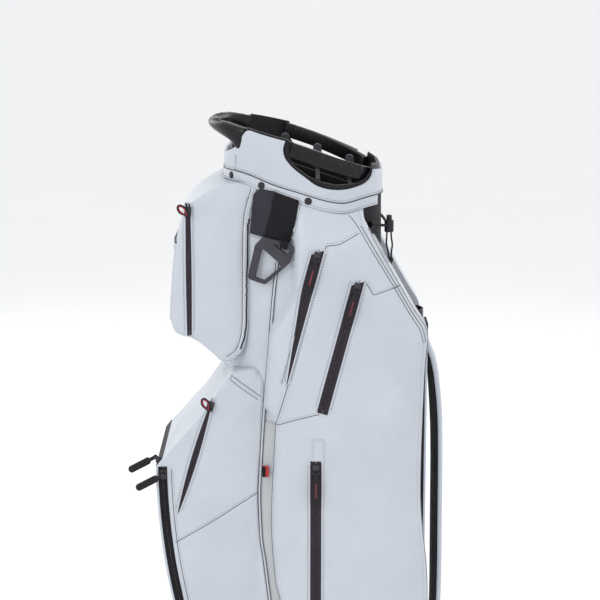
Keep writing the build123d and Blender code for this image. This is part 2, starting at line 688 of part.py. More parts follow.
FRONT_EDGE_TOP, FRONT_EDGE_LOW = (-204.0, 436.0), (-213.0, 424.0)      # slope that carries the front run
slope_x = (FRONT_EDGE_TOP[0] + FRONT_EDGE_LOW[0]) / 2
slope_z = (FRONT_EDGE_TOP[1] + FRONT_EDGE_LOW[1]) / 2
front_run = Plane(origin=(slope_x, -BALL_Y + 4, slope_z), x_dir=(0, 1, 0), z_dir=(-0.8, 0, 0.6))
with BuildPart() as zip_front_tape:
    with BuildSketch(front_run):
        with Locations((BALL_Y - 4, 0)):
            Rectangle(2 * BALL_Y - 8, 14)
    extrude(amount=TAPE_THICKNESS)
save(zip_front_tape, "zip_front_tape")

side_run = Plane(origin=(ZIP_TOP[0], -BALL_Y, ZIP_TOP[1]), z_dir=(0, -1, 0),
                 x_dir=(on_zip_arc(400)[0] - ZIP_TOP[0], 0, 400 - ZIP_TOP[1]))
PULL_DROOP = 28.0                             # how far the twin pulls point below level, degrees


def flat_pull(name, pivot, length, width):
    """Pull tab that lies in a side-view plane and turns about a pin across the bag."""
    way = Vector(-cos(radians(PULL_DROOP)), 0, -sin(radians(PULL_DROOP)))
    flat = Plane(pivot, x_dir=way, z_dir=(0, -1, 0))
    with BuildPart() as tab:
        with BuildSketch(flat.offset(-1.6)):
            Circle(3.2)
            with Locations((5, 0)):
                Rectangle(10, 5)
            with Locations((length / 2 + 4, 0)):
                RectangleRounded(length - 8, width, width / 2 - 0.5)
            Circle(EYE_R, mode=Mode.SUBTRACT)
        extrude(amount=3.2)
    save(tab, name)
    return tab


side_pivot = side_run.from_local_coords(Vector(6, 0, PIVOT_W + 0.2))
with BuildPart() as zip_side_slider:
    with BuildSketch(side_run.offset(SLIDER_FLOOR)):
        with Locations((SLIDER_LENGTH / 2, 0)):
            RectangleRounded(SLIDER_LENGTH, SLIDER_WIDTH, 2)
    extrude(amount=SLIDER_TOP - SLIDER_FLOOR)
    with BuildSketch(side_run.offset(SLIDER_TOP)):
        with Locations((6, 0)):
            Circle(PIN_R)
    extrude(amount=6)
    with BuildSketch(side_run.offset(SLIDER_TOP + 5.2)):
        with Locations((6, 0)):
            Circle(2.2)
    extrude(amount=1)
save(zip_side_slider, "zip_side_slider")
flat_pull("zip_side_pull", side_pivot, 43, 10)

FRONT_PIN_W = 8.0
front_pivot = front_run.from_local_coords(Vector(11, 0, FRONT_PIN_W))
with BuildPart() as zip_front_slider:
    with BuildSketch(front_run.offset(SLIDER_FLOOR)):
        with Locations((11, 0)):
            RectangleRounded(SLIDER_LENGTH, SLIDER_WIDTH, 2)
    extrude(amount=SLIDER_TOP - SLIDER_FLOOR)
    with BuildSketch(front_run.offset(SLIDER_TOP)):
        with Locations((8, 0), (14, 0)):
            Rectangle(1.2, 4.4)
    extrude(amount=FRONT_PIN_W + 1.5 - SLIDER_TOP)
    with BuildSketch(Plane(front_run.from_local_coords(Vector(7.4, 0, FRONT_PIN_W)), z_dir=(0, 1, 0))):
        Circle(PIN_R)
    extrude(amount=7.2)
save(zip_front_slider, "zip_front_slider")
flat_pull("zip_front_pull", front_pivot, 43, 10)
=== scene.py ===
"""Looks of the golf staff bag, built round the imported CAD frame.

Lengths in the helpers are millimetres in the frame's axes, and mesh_object turns them into metres.
-X is the front with the ball pocket, +X the back with the strap, -Y the near side.
"""
from math import acos, asin, ceil, cos, exp, hypot, pi, radians, sin, sqrt

import bmesh
import bpy
import numpy as np
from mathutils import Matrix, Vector, noise
from mathutils.bvhtree import BVHTree
from mathutils.geometry import delaunay_2d_cdt


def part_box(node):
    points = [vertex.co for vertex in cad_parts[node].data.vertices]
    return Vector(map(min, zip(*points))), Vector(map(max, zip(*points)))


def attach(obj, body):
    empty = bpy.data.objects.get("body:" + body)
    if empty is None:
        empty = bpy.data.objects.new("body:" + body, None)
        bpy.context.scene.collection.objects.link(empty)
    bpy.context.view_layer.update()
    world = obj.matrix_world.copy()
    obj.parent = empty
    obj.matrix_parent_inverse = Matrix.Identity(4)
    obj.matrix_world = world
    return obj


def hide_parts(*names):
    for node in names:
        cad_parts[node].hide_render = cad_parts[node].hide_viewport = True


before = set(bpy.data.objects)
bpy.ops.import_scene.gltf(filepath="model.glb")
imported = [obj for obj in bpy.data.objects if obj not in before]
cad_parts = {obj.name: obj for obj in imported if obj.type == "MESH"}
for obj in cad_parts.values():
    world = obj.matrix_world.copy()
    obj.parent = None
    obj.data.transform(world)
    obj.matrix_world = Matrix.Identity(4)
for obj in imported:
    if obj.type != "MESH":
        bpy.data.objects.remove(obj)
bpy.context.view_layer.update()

MM = 0.001
NEAR, FAR = -1, 1
SIDES = ((NEAR, "near"), (FAR, "far"))
UP, BACKWARD = (0, 0, 1), (1, 0, 0)
BODY = "bag"


# ---------------------------------------------------------------- camera, floor and light
def camera():
    data = bpy.data.cameras.new("camera")
    data.lens = 110
    data.sensor_width = 36
    view = bpy.data.objects.new("camera", data)
    view.location = (-0.0087, -2.6, 1.197)
    view.rotation_euler = (radians(78), 0, 0)
    bpy.context.scene.collection.objects.link(view)
    bpy.context.scene.camera = view


def area_light(name, place, aim, size, watts, tint=(1, 1, 1)):
    data = bpy.data.lights.new(name, "AREA")
    data.shape = "RECTANGLE"
    data.size, data.size_y = size
    data.energy = watts
    data.color = tint
    lamp = bpy.data.objects.new(name, data)
    lamp.location = place
    lamp.rotation_euler = (Vector(aim) - Vector(place)).to_track_quat("-Z", "Y").to_euler()
    bpy.context.scene.collection.objects.link(lamp)


def studio():
    world = bpy.data.worlds.new("studio")
    bpy.context.scene.world = world
    world.use_nodes = True
    background = world.node_tree.nodes["Background"].inputs
    background["Color"].default_value = (0.985, 0.99, 1.0, 1)
    background["Strength"].default_value = 0.98
    middle = (0, 0, 0.5)
    area_light("key", (-1.5, -2.2, 2.2), middle, (1.0, 1.0), 15, (1, 0.99, 0.97))
    area_light("fill", (2.0, -1.8, 1.2), middle, (1.6, 1.6), 3, (0.96, 0.98, 1))
    area_light("back_left", (-1.6, 1.9, 1.5), middle, (1.2, 1.6), 12)
    area_light("back_right", (1.7, 1.8, 1.4), middle, (1.2, 1.6), 10)
    area_light("top", (0, 0.2, 2.7), (0, 0, 0.8), (1.2, 1.2), 4)


camera()
studio()


# ---------------------------------------------------------------- materials
def node(nodes, kind, **values):
    """New shader node with its sockets and settings filled in."""
    made = nodes.new(kind)
    for key, value in values.items():
        if key in made.inputs:
            made.inputs[key].default_value = value
        else:
            setattr(made, key, value)
    return made


def weave_height(nodes, links, place, pitch):
    """Over-and-under threads along the height and round the bag, 0 to 1."""
    def maths(operation, *sources):
        made = node(nodes, "ShaderNodeMath", operation=operation)
        for socket, source in zip(made.inputs, sources):
            if isinstance(source, float):
                socket.default_value = source
            else:
                links.new(source, socket)
        return made.outputs[0]

    split = nodes.new("ShaderNodeSeparateXYZ")
    links.new(place, split.inputs[0])
    around = maths("ADD", split.outputs["X"], split.outputs["Y"])
    waves = [maths("SINE", maths("MULTIPLY", source, pi / pitch)) for source in (around, split.outputs["Z"])]
    return maths("ABSOLUTE", maths("MULTIPLY", *waves))


def surface(name, light, dark, roughness, pattern, pitch, relief, spread=0.08, patch=40.0,
            metallic=0.0, coat=0.0, sheen=0.0, specular=0.5):
    """Procedural finish: two mottled tones, uneven gloss, and a relief of pebbles, weave or grain.

    pitch is the relief's size and patch the mottling's, in millimetres. spread is how much the relief shades.
    """
    material = bpy.data.materials.new(name)
    material.use_nodes = True
    nodes, links = material.node_tree.nodes, material.node_tree.links
    shader = nodes["Principled BSDF"]
    for socket, value in (("Metallic", metallic), ("Coat Weight", coat), ("Coat Roughness", 0.12),
                          ("Sheen Weight", sheen), ("Specular IOR Level", specular)):
        shader.inputs[socket].default_value = value

    place = nodes.new("ShaderNodeTexCoord").outputs["Object"]
    mottle = node(nodes, "ShaderNodeTexNoise", Scale=1 / (patch * MM), Detail=4.0, Roughness=0.6)
    links.new(place, mottle.inputs["Vector"])
    tones = nodes.new("ShaderNodeValToRGB")
    for stop, position, tone in zip(tones.color_ramp.elements, (0.3, 0.7), (light, dark)):
        stop.position, stop.color = position, (*tone, 1)
    links.new(mottle.outputs["Fac"], tones.inputs["Fac"])

    if pattern == "pebble":
        cells = node(nodes, "ShaderNodeTexVoronoi", feature="SMOOTH_F1", Scale=1 / (pitch * MM))
        links.new(place, cells.inputs["Vector"])
        height = cells.outputs["Distance"]
    elif pattern == "weave":
        height = weave_height(nodes, links, place, pitch * MM)
    else:
        grain = node(nodes, "ShaderNodeTexNoise", Scale=1 / (pitch * MM), Detail=3.0)
        links.new(place, grain.inputs["Vector"])
        height = grain.outputs["Fac"]

    shade = node(nodes, "ShaderNodeMapRange", **{"To Min": 1 - spread, "To Max": 1 + spread / 2})
    links.new(height, shade.inputs["Value"])
    shaded = node(nodes, "ShaderNodeVectorMath", operation="SCALE")
    links.new(tones.outputs["Color"], shaded.inputs["Vector"])
    links.new(shade.outputs["Result"], shaded.inputs["Scale"])
    links.new(shaded.outputs["Vector"], shader.inputs["Base Color"])

    gloss = node(nodes, "ShaderNodeMapRange", **{"To Min": roughness - 0.06, "To Max": roughness + 0.08})
    links.new(mottle.outputs["Fac"], gloss.inputs["Value"])
    links.new(gloss.outputs["Result"], shader.inputs["Roughness"])

    bump = node(nodes, "ShaderNodeBump", Strength=relief, Distance=0.3 * pitch * MM)
    links.new(height, bump.inputs["Height"])
    links.new(bump.outputs["Normal"], shader.inputs["Normal"])
    return material


LEATHER = surface("pale_leather", (0.568, 0.605, 0.662), (0.517, 0.554, 0.613), 0.44, "pebble", 1.1, 0.2,
                  spread=0.05, patch=90, coat=0.05, specular=0.4)
# Painted shade: a darker, greyer copy of the pale leather for the gusset, standing in for the shade on the recessed
# band.
SHADED_GUSSET_LEATHER = surface("gusset_leather_painted_shade", (0.50, 0.515, 0.53), (0.44, 0.46, 0.48), 0.5, "pebble", 1.1, 0.2,
                       spread=0.05, patch=70)
# Dark piping for the seams, also used as painted shadow along the gusset's back edge.
SEAM_AND_SHADOW_PAINT = surface("seam_and_shadow_piping", (0.085, 0.087, 0.098), (0.055, 0.056, 0.065), 0.5, "grain", 0.6, 0.3,
                     specular=0.2)
THREAD = surface("pale_thread", (0.40, 0.43, 0.46), (0.32, 0.345, 0.38), 0.6, "grain", 0.4, 0.5, specular=0.2)
DARK_THREAD = surface("dark_thread", (0.09, 0.09, 0.10), (0.05, 0.05, 0.06), 0.6, "grain", 0.4, 0.5)
MOULDED = surface("moulded_black", (0.006, 0.006, 0.008), (0.011, 0.011, 0.014), 0.3, "grain", 0.5, 0.06,
                  patch=25, coat=0.06, specular=0.25)
CAP_BLACK = surface("cap_foam", (0.010, 0.010, 0.012), (0.018, 0.017, 0.020), 0.7, "weave", 1.2, 0.35,
                    sheen=0.04, specular=0.2)
LUG = surface("lug_grey", (0.060, 0.062, 0.068), (0.045, 0.047, 0.052), 0.5, "grain", 0.7, 0.15, specular=0.3)
RING = surface("ring_grey", (0.013, 0.012, 0.016), (0.008, 0.008, 0.011), 0.42, "grain", 0.5, 0.12, patch=20,
               specular=0.25)
RING_GREY = surface("towel_ring_grey", (0.050, 0.048, 0.060), (0.038, 0.037, 0.047), 0.42, "grain", 0.5, 0.12,
                    patch=20, specular=0.3)
RUBBER = surface("sole_rubber", (0.014, 0.014, 0.016), (0.026, 0.025, 0.025), 0.66, "pebble", 0.9, 0.4,
                 specular=0.25)
STEEL = surface("screw_steel", (0.34, 0.34, 0.35), (0.24, 0.24, 0.25), 0.32, "grain", 0.4, 0.15, metallic=1.0)
LINER = surface("tube_liner", (0.022, 0.022, 0.026), (0.013, 0.013, 0.016), 0.85, "weave", 0.9, 0.4,
                sheen=0.04, specular=0.15)
BALLISTIC = surface("spine_fabric", (0.010, 0.009, 0.013), (0.018, 0.016, 0.021), 0.72, "weave", 1.1, 0.6,
                    spread=0.3, sheen=0.04, specular=0.2)
WEBBING = surface("anchor_webbing", (0.007, 0.007, 0.010), (0.013, 0.013, 0.017), 0.7, "weave", 1.6, 0.8,
                  spread=0.3, sheen=0.03, specular=0.2)
SNAP = surface("rivet_black", (0.010, 0.010, 0.012), (0.016, 0.016, 0.018), 0.3, "grain", 0.4, 0.05, coat=0.1,
               specular=0.35)
ELASTIC = surface("elastic_cord", (0.009, 0.009, 0.012), (0.020, 0.020, 0.024), 0.62, "weave", 0.8, 0.9,
                  spread=0.45, sheen=0.03, specular=0.25)
LOCK = surface("lock_plastic", (0.010, 0.010, 0.012), (0.016, 0.016, 0.019), 0.34, "grain", 0.5, 0.1, coat=0.05,
               specular=0.3)
TAB_RED = surface("tab_red", (0.55, 0.028, 0.030), (0.44, 0.020, 0.024), 0.6, "weave", 0.9, 0.5, spread=0.25)
ZIP_TAPE = surface("zip_tape", (0.026, 0.020, 0.028), (0.038, 0.029, 0.039), 0.55, "weave", 0.7, 0.5,
                   spread=0.2, patch=30, specular=0.2)
# Black of the zip teeth, also used for the painted shadow gap along the upper pocket's edge.
COIL_AND_PAINTED_SHADOW = surface("zip_coil_and_painted_shadow", (0.010, 0.008, 0.012), (0.018, 0.014, 0.020), 0.36, "grain", 0.5, 0.1, specular=0.25)
SLIDER = surface("zip_metal", (0.045, 0.044, 0.050), (0.065, 0.063, 0.070), 0.30, "grain", 0.5, 0.08,
                 metallic=0.7, patch=6)
PULL = surface("pull_rubber", (0.010, 0.009, 0.012), (0.018, 0.015, 0.020), 0.48, "grain", 0.6, 0.2, patch=12,
               specular=0.3)
PULL_RED = surface("pull_red", (0.20, 0.020, 0.034), (0.14, 0.016, 0.028), 0.5, "grain", 0.5, 0.1)
LOOP_RED = surface("loop_red", (0.42, 0.020, 0.035), (0.28, 0.016, 0.028), 0.5, "grain", 0.5, 0.15)
HANG_GREY = surface("strap_grey", (0.036, 0.033, 0.046), (0.026, 0.024, 0.034), 0.6, "weave", 0.9, 0.6,
                    spread=0.2, sheen=0.03, specular=0.2)
SPACER = surface("spacer_mesh", (0.014, 0.014, 0.016), (0.026, 0.026, 0.029), 0.8, "pebble", 2.4, 1.0,
                 spread=0.5, sheen=0.05, specular=0.2)
FLOOR = surface("studio_floor", (0.93, 0.935, 0.94), (0.92, 0.925, 0.93), 0.6, "grain", 3.0, 0.02, patch=400)


# ---------------------------------------------------------------- curves in the plane
def polyline(points, step=5.0):
    """Straight runs, sampled at most step apart, with every corner kept."""
    out = [tuple(points[0])]
    for start, end in zip(points, points[1:]):
        length = hypot(*[b - a for a, b in zip(start, end)])
        count = max(1, ceil(length / step))
        out += [tuple(a + (b - a) * i / count for a, b in zip(start, end)) for i in range(1, count + 1)]
    return out


def curve(points, step=5.0):
    """Catmull-Rom curve through the points, sampled about step apart."""
    points = [np.array(p, float) for p in points]
    points = [2 * points[0] - points[1]] + points + [2 * points[-1] - points[-2]]
    out = []
    for a, b, c, d in zip(points, points[1:], points[2:], points[3:]):
        count = max(1, int(np.linalg.norm(c - b) / step))
        for i in range(count):
            t = i / count
            out.append(0.5 * (2 * b + (c - a) * t + (2 * a - 5 * b + 4 * c - d) * t * t
                              + (3 * b - a - 3 * c + d) * t ** 3))
    out.append(points[-2])
    return [tuple(float(v) for v in p) for p in out]


def along(points, step):
    """The same open path resampled evenly."""
    points = np.array(points, float)
    runs = np.linalg.norm(np.diff(points, axis=0), axis=1)
    at = np.concatenate([[0], np.cumsum(runs)])
    count = max(2, int(round(at[-1] / step)) + 1)
    wanted = np.linspace(0, at[-1], count)
    return [tuple(float(np.interp(w, at, points[:, k])) for k in range(points.shape[1])) for w in wanted]


def value_on(line, x):
    """Second coordinate of a polyline at x, held level past its ends."""
    line = sorted(line)
    return float(np.interp(x, [p[0] for p in line], [p[1] for p in line]))


def ease(low, high, x):
    t = min(1.0, max(0.0, (x - low) / (high - low)))
    return t * t * (3 - 2 * t)


def distances(points, path, closed=False):
    """Distance from each plane point to a path."""
    points = np.array(points, float)
    path = np.array(path, float)
    if closed:
        path = np.vstack([path, path[:1]])
    best = np.full(len(points), 1e9)
    for a, b in zip(path[:-1], path[1:]):
        run = b - a
        size = max(float(run @ run), 1e-9)
        t = np.clip(((points - a) @ run) / size, 0, 1)
        best = np.minimum(best, np.linalg.norm(points - a - t[:, None] * run, axis=1))
    return best


def inside(points, loop):
    points = np.array(points, float)
    loop = np.array(loop, float)
    x, y = points[:, 0], points[:, 1]
    hit = np.zeros(len(points), bool)
    for (x0, y0), (x1, y1) in zip(loop, np.roll(loop, -1, axis=0)):
        crosses = (y0 > y) != (y1 > y)
        with np.errstate(divide="ignore", invalid="ignore"):
            hit ^= crosses & (x < (x1 - x0) * (y - y0) / (y1 - y0 + 1e-30) + x0)
    return hit


def offset_path(path, amount):
    """Plane path moved sideways, to its left for a positive amount."""
    path = np.array(path, float)
    way = np.gradient(path, axis=0)
    way /= np.linalg.norm(way, axis=1)[:, None] + 1e-9
    return path + amount * np.column_stack([-way[:, 1], way[:, 0]])


def triangulate(loop, fine=(), rings=(), step=6.0):
    """Triangles over a closed plane outline, with extra points on rings inside its edge and along fine paths."""
    loop = np.array(loop, float)
    area = 0.5 * np.sum(loop[:, 0] * np.roll(loop[:, 1], -1) - np.roll(loop[:, 0], -1) * loop[:, 1])
    inward = 1 if area > 0 else -1
    closed = np.vstack([loop[-1:], loop, loop[:1]])
    extra = []
    for depth in rings:
        ring = offset_path(closed, inward * depth)[1:-1]
        keep = inside(ring, loop) & (distances(ring, loop, True) > 0.85 * depth)
        extra.append(ring[keep])
    for path in fine:
        dense = np.array(along(path, 4.0))
        for shift in (-4.5, -1.6, 0.0, 1.6, 4.5):
            row = offset_path(dense, shift)
            keep = inside(row, loop) & (distances(row, loop, True) > 0.9)
            extra.append(row[keep])
    low, high = loop.min(axis=0), loop.max(axis=0)
    rows = int((high[1] - low[1]) / (step * 0.87)) + 1
    columns = int((high[0] - low[0]) / step) + 2
    grid = np.array([(low[0] + (i + 0.5 * (j % 2)) * step, low[1] + j * step * 0.87)
                     for j in range(rows) for i in range(columns)])
    border = max(rings) if rings else 0
    grid = grid[inside(grid, loop)]
    grid = grid[distances(grid, loop, True) > border + 0.5 * step]
    for path in fine:
        grid = grid[distances(grid, path) > 4.5 + 0.45 * step]
    points = np.vstack([loop] + extra + [grid])
    count = len(loop)
    edges = [(i, (i + 1) % count) for i in range(count)]
    flat, _, faces, _, _, _ = delaunay_2d_cdt([Vector(p) for p in points], edges, [], 1, 1e-4)
    return [(p.x, p.y) for p in flat], [list(f) for f in faces]


def border_of(faces):
    """The outline's vertices in order, from the edges that have one face."""
    once = {}
    for face in faces:
        for a, b in zip(face, face[1:] + face[:1]):
            if (b, a) in once:
                del once[(b, a)]
            else:
                once[(a, b)] = True
    after = dict(once.keys())
    start = next(iter(after))
    loop = [start]
    while after[loop[-1]] != start:
        loop.append(after[loop[-1]])
    return loop


# ---------------------------------------------------------------- the bag's round plan
collar_low, collar_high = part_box("collar_shell")
CORNER = 100.0
MID_X = (collar_low.x + collar_high.x) / 2 / MM
HALF_X = (collar_high.x - collar_low.x) / 2 / MM
HALF_Y = (collar_high.y - collar_low.y) / 2 / MM
FLAT_X, FLAT_Y = HALF_X - CORNER, HALF_Y - CORNER      # half the straight stretches
FRONT_X, BACK_X = MID_X - FLAT_X, MID_X + FLAT_X       # where the corners meet the long sides
QUARTER = CORNER * pi / 2
HALF_ROUND = 2 * FLAT_Y + 2 * FLAT_X + 2 * QUARTER
WHOLE = 2 * HALF_ROUND
SKIN_OUT = -3.0                                        # cover's outer face, from the collar's


def round_plan(s, grow=0.0):
    """Point and outward normal, s along the collar's outline from front middle past the near side."""
    side = NEAR
    if s > HALF_ROUND:
        s, side = WHOLE - s, FAR
    if s < FLAT_Y:
        x, y, nx, ny = FRONT_X - CORNER - grow, s, -1.0, 0.0
    elif s < FLAT_Y + QUARTER:
        a = (s - FLAT_Y) / CORNER
        nx, ny = -cos(a), sin(a)
        x, y = FRONT_X + nx * (CORNER + grow), FLAT_Y + ny * (CORNER + grow)
    elif s < FLAT_Y + QUARTER + 2 * FLAT_X:
        x, y, nx, ny = FRONT_X + s - FLAT_Y - QUARTER, HALF_Y + grow, 0.0, 1.0
    elif s < FLAT_Y + 2 * QUARTER + 2 * FLAT_X:
        a = (s - FLAT_Y - QUARTER - 2 * FLAT_X) / CORNER
        nx, ny = sin(a), cos(a)
        x, y = BACK_X + nx * (CORNER + grow), FLAT_Y + ny * (CORNER + grow)
    else:
        x, y, nx, ny = BACK_X + CORNER + grow, HALF_ROUND - s, 1.0, 0.0
    return x, side * y, nx, side * ny


def s_at(x, side=NEAR):
    """Distance along the collar's outline of the point at x on that side."""
    if x < FRONT_X:
        s = FLAT_Y + CORNER * acos(min(1, (FRONT_X - x) / CORNER))
    elif x < BACK_X:
        s = FLAT_Y + QUARTER + x - FRONT_X
    else:
        s = FLAT_Y + QUARTER + 2 * FLAT_X + CORNER * asin(min(1, (x - BACK_X) / CORNER))
    return s if side == NEAR else WHOLE - s


def half_width(x, grow=0.0):
    """The round plan's |y| at x, and 0 in front of it or behind it."""
    reach = CORNER + grow
    if FRONT_X <= x <= BACK_X:
        return HALF_Y + grow
    over = FRONT_X - x if x < FRONT_X else x - BACK_X
    return FLAT_Y + sqrt(reach ** 2 - over ** 2) if over < reach else 0.0


# ---------------------------------------------------------------- making objects
def mesh_object(name, points, faces, material, smooth=True):
    mesh = bpy.data.meshes.new(name)
    mesh.from_pydata([(x * MM, y * MM, z * MM) for x, y, z in points], [], faces)
    made = bpy.data.objects.new(name, mesh)
    bpy.context.scene.collection.objects.link(made)
    mesh.materials.append(material)
    work = bmesh.new()
    work.from_mesh(mesh)
    bmesh.ops.remove_doubles(work, verts=work.verts, dist=0.02 * MM)
    bmesh.ops.recalc_face_normals(work, faces=work.faces)
    for face in work.faces:
        face.smooth = smooth
    work.to_mesh(mesh)
    work.free()
    return made


def belongs(piece, slot, *nodes, body=BODY):
    """Tie a new piece to its body and hide the CAD nodes that it stands for; the slot is not used."""
    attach(piece, body)
    if nodes:
        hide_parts(*nodes)
    return piece


def bevelled(piece, width=0.5, segments=2, angle=35):
    bevel = piece.modifiers.new("edges", "BEVEL")
    bevel.width = width * MM
    bevel.segments = segments
    bevel.limit_method = "ANGLE"
    bevel.angle_limit = radians(angle)
    bevel.harden_normals = False
    return piece


def smooth_by_angle(mesh, angle=35):
    """Smooth shading that leaves edges sharper than the angle crisp."""
    work = bmesh.new()
    work.from_mesh(mesh)
    for face in work.faces:
        face.smooth = True
    for edge in work.edges:
        edge.smooth = len(edge.link_faces) == 2 and edge.calc_face_angle(0) < radians(angle)
    work.to_mesh(mesh)
    work.free()


def dress(name, material, width=0.5, segments=2):
    """Give a CAD node its finish and softened edges."""
    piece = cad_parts[name]
    piece.data.materials.clear()
    piece.data.materials.append(material)
    if width:
        weld = piece.modifiers.new("weld", "WELD")
        weld.merge_threshold = 0.01 * MM
        bevelled(piece, width, segments)
        piece.modifiers.new("shading", "WEIGHTED_NORMAL")
    return piece


def tube_faces(rows, size, start=0, closed=False):
    """Quads between the rings of a tube, size points a ring; closed joins the last ring to the first."""
    return [[start + i * size + k, start + i * size + (k + 1) % size,
             start + (i + 1) % rows * size + (k + 1) % size, start + (i + 1) % rows * size + k]
            for i in range(rows if closed else rows - 1) for k in range(size)]


def sweep(name, path, ups, sections, material, closed=False):
    """Solid carried along a path: sections are (across, up) outlines, one for all or one per point."""
    path = np.array(path, float)
    ups = np.array(ups, float)
    if not isinstance(sections[0][0], (tuple, list, np.ndarray)):
        sections = [sections] * len(path)
    if closed:
        way = np.roll(path, -1, axis=0) - np.roll(path, 1, axis=0)
    else:
        way = np.gradient(path, axis=0)
    way /= np.linalg.norm(way, axis=1)[:, None] + 1e-9
    points = []
    for here, tangent, up, section in zip(path, way, ups, sections):
        across = np.cross(tangent, up)
        across /= np.linalg.norm(across) + 1e-9
        rise = np.cross(across, tangent)
        points += [tuple(here + a * across + u * rise) for a, u in section]
    count, size = len(path), len(sections[0])
    faces = tube_faces(count, size, closed=closed)
    if not closed:
        faces.append(list(range(size)))
        faces.append([(count - 1) * size + k for k in range(size)][::-1])
    return mesh_object(name, points, faces, material)


def swept(name, path, ups, sections, material=SEAM_AND_SHADOW_PAINT, slot="shell_leather", *nodes, body=BODY, closed=False):
    """A sweep tied to its body, with the CAD nodes that it stands for hidden; the slot is not used."""
    return belongs(sweep(name, path, ups, sections, material, closed), slot, *nodes, body=body)


def round_section(radius, sides=8, lift=0.0):
    return [(radius * cos(2 * pi * k / sides), lift + radius * sin(2 * pi * k / sides)) for k in range(sides)]


def box_section(a0, a1, u0, u1, corner, steps=3):
    """Rounded rectangle from a0 to a1 across and u0 to u1 up."""
    out = []
    corner = min(corner, (a1 - a0) / 2 - 1e-3, (u1 - u0) / 2 - 1e-3)
    for ca, cu, start in ((a1 - corner, u1 - corner, 0), (a0 + corner, u1 - corner, 90),
                          (a0 + corner, u0 + corner, 180), (a1 - corner, u0 + corner, 270)):
        for k in range(steps + 1):
            turn = radians(start + 90 * k / steps)
            out.append((ca + corner * cos(turn), cu + corner * sin(turn)))
    return out


def welt_section(width, height):
    """Low rounded ridge, flat underneath."""
    top = [(width / 2 * cos(radians(a)), height * sin(radians(a))) for a in range(0, 181, 30)]
    return top + [(-width / 2, -0.6), (width / 2, -0.6)]


class Stitches:
    """Rows of raised thread, gathered into one mesh for each area."""

    def __init__(self):
        self.points, self.faces = [], []

    def row(self, path, ups, pitch=4.4, length=3.0, width=0.85, height=0.5):
        path = np.array(path, float)
        ups = np.array(ups, float)
        runs = np.linalg.norm(np.diff(path, axis=0), axis=1)
        at = np.concatenate([[0], np.cumsum(runs)])
        for k in range(int(at[-1] / pitch)):
            middle = (k + 0.5) * pitch
            ends = [np.array([np.interp(middle + d, at, path[:, c]) for c in range(3)])
                    for d in (-length / 2, length / 2)]
            up = np.array([np.interp(middle, at, ups[:, c]) for c in range(3)])
            up /= np.linalg.norm(up) + 1e-9
            way = ends[1] - ends[0]
            way /= np.linalg.norm(way) + 1e-9
            across = np.cross(way, up)
            base = len(self.points)
            for t, rise in ((0, -0.15), (0.25, height), (0.75, height), (1, -0.15)):
                spot = ends[0] + t * (ends[1] - ends[0]) + rise * up
                narrow = 0.5 if t in (0, 1) else 1.0
                self.points += [tuple(spot - narrow * width / 2 * across - 0.2 * up),
                                tuple(spot + 0.12 * up * narrow),
                                tuple(spot + narrow * width / 2 * across - 0.2 * up)]
            self.faces += tube_faces(4, 3, base)
            self.faces += [[base, base + 2, base + 1], [base + 9, base + 10, base + 11]]

    def fine(self, path, ups):
        """The thinner thread of the leather seams."""
        self.row(path, ups, width=0.7, height=0.35)

    def close(self, path, ups, pitch=3.6, length=2.6):
        """Short dense stitches of webbing."""
        self.row(path, ups, pitch, length, width=0.6, height=0.35)

    def make(self, name, material=THREAD, slot="shell_leather"):
        return belongs(mesh_object(name, self.points, self.faces, material), slot)


# ---------------------------------------------------------------- padded fabric
def wander(x, y, z, size, seed=0.0):
    return noise.noise(Vector((x / size + seed, y / size - seed, z / size + 2 * seed)))


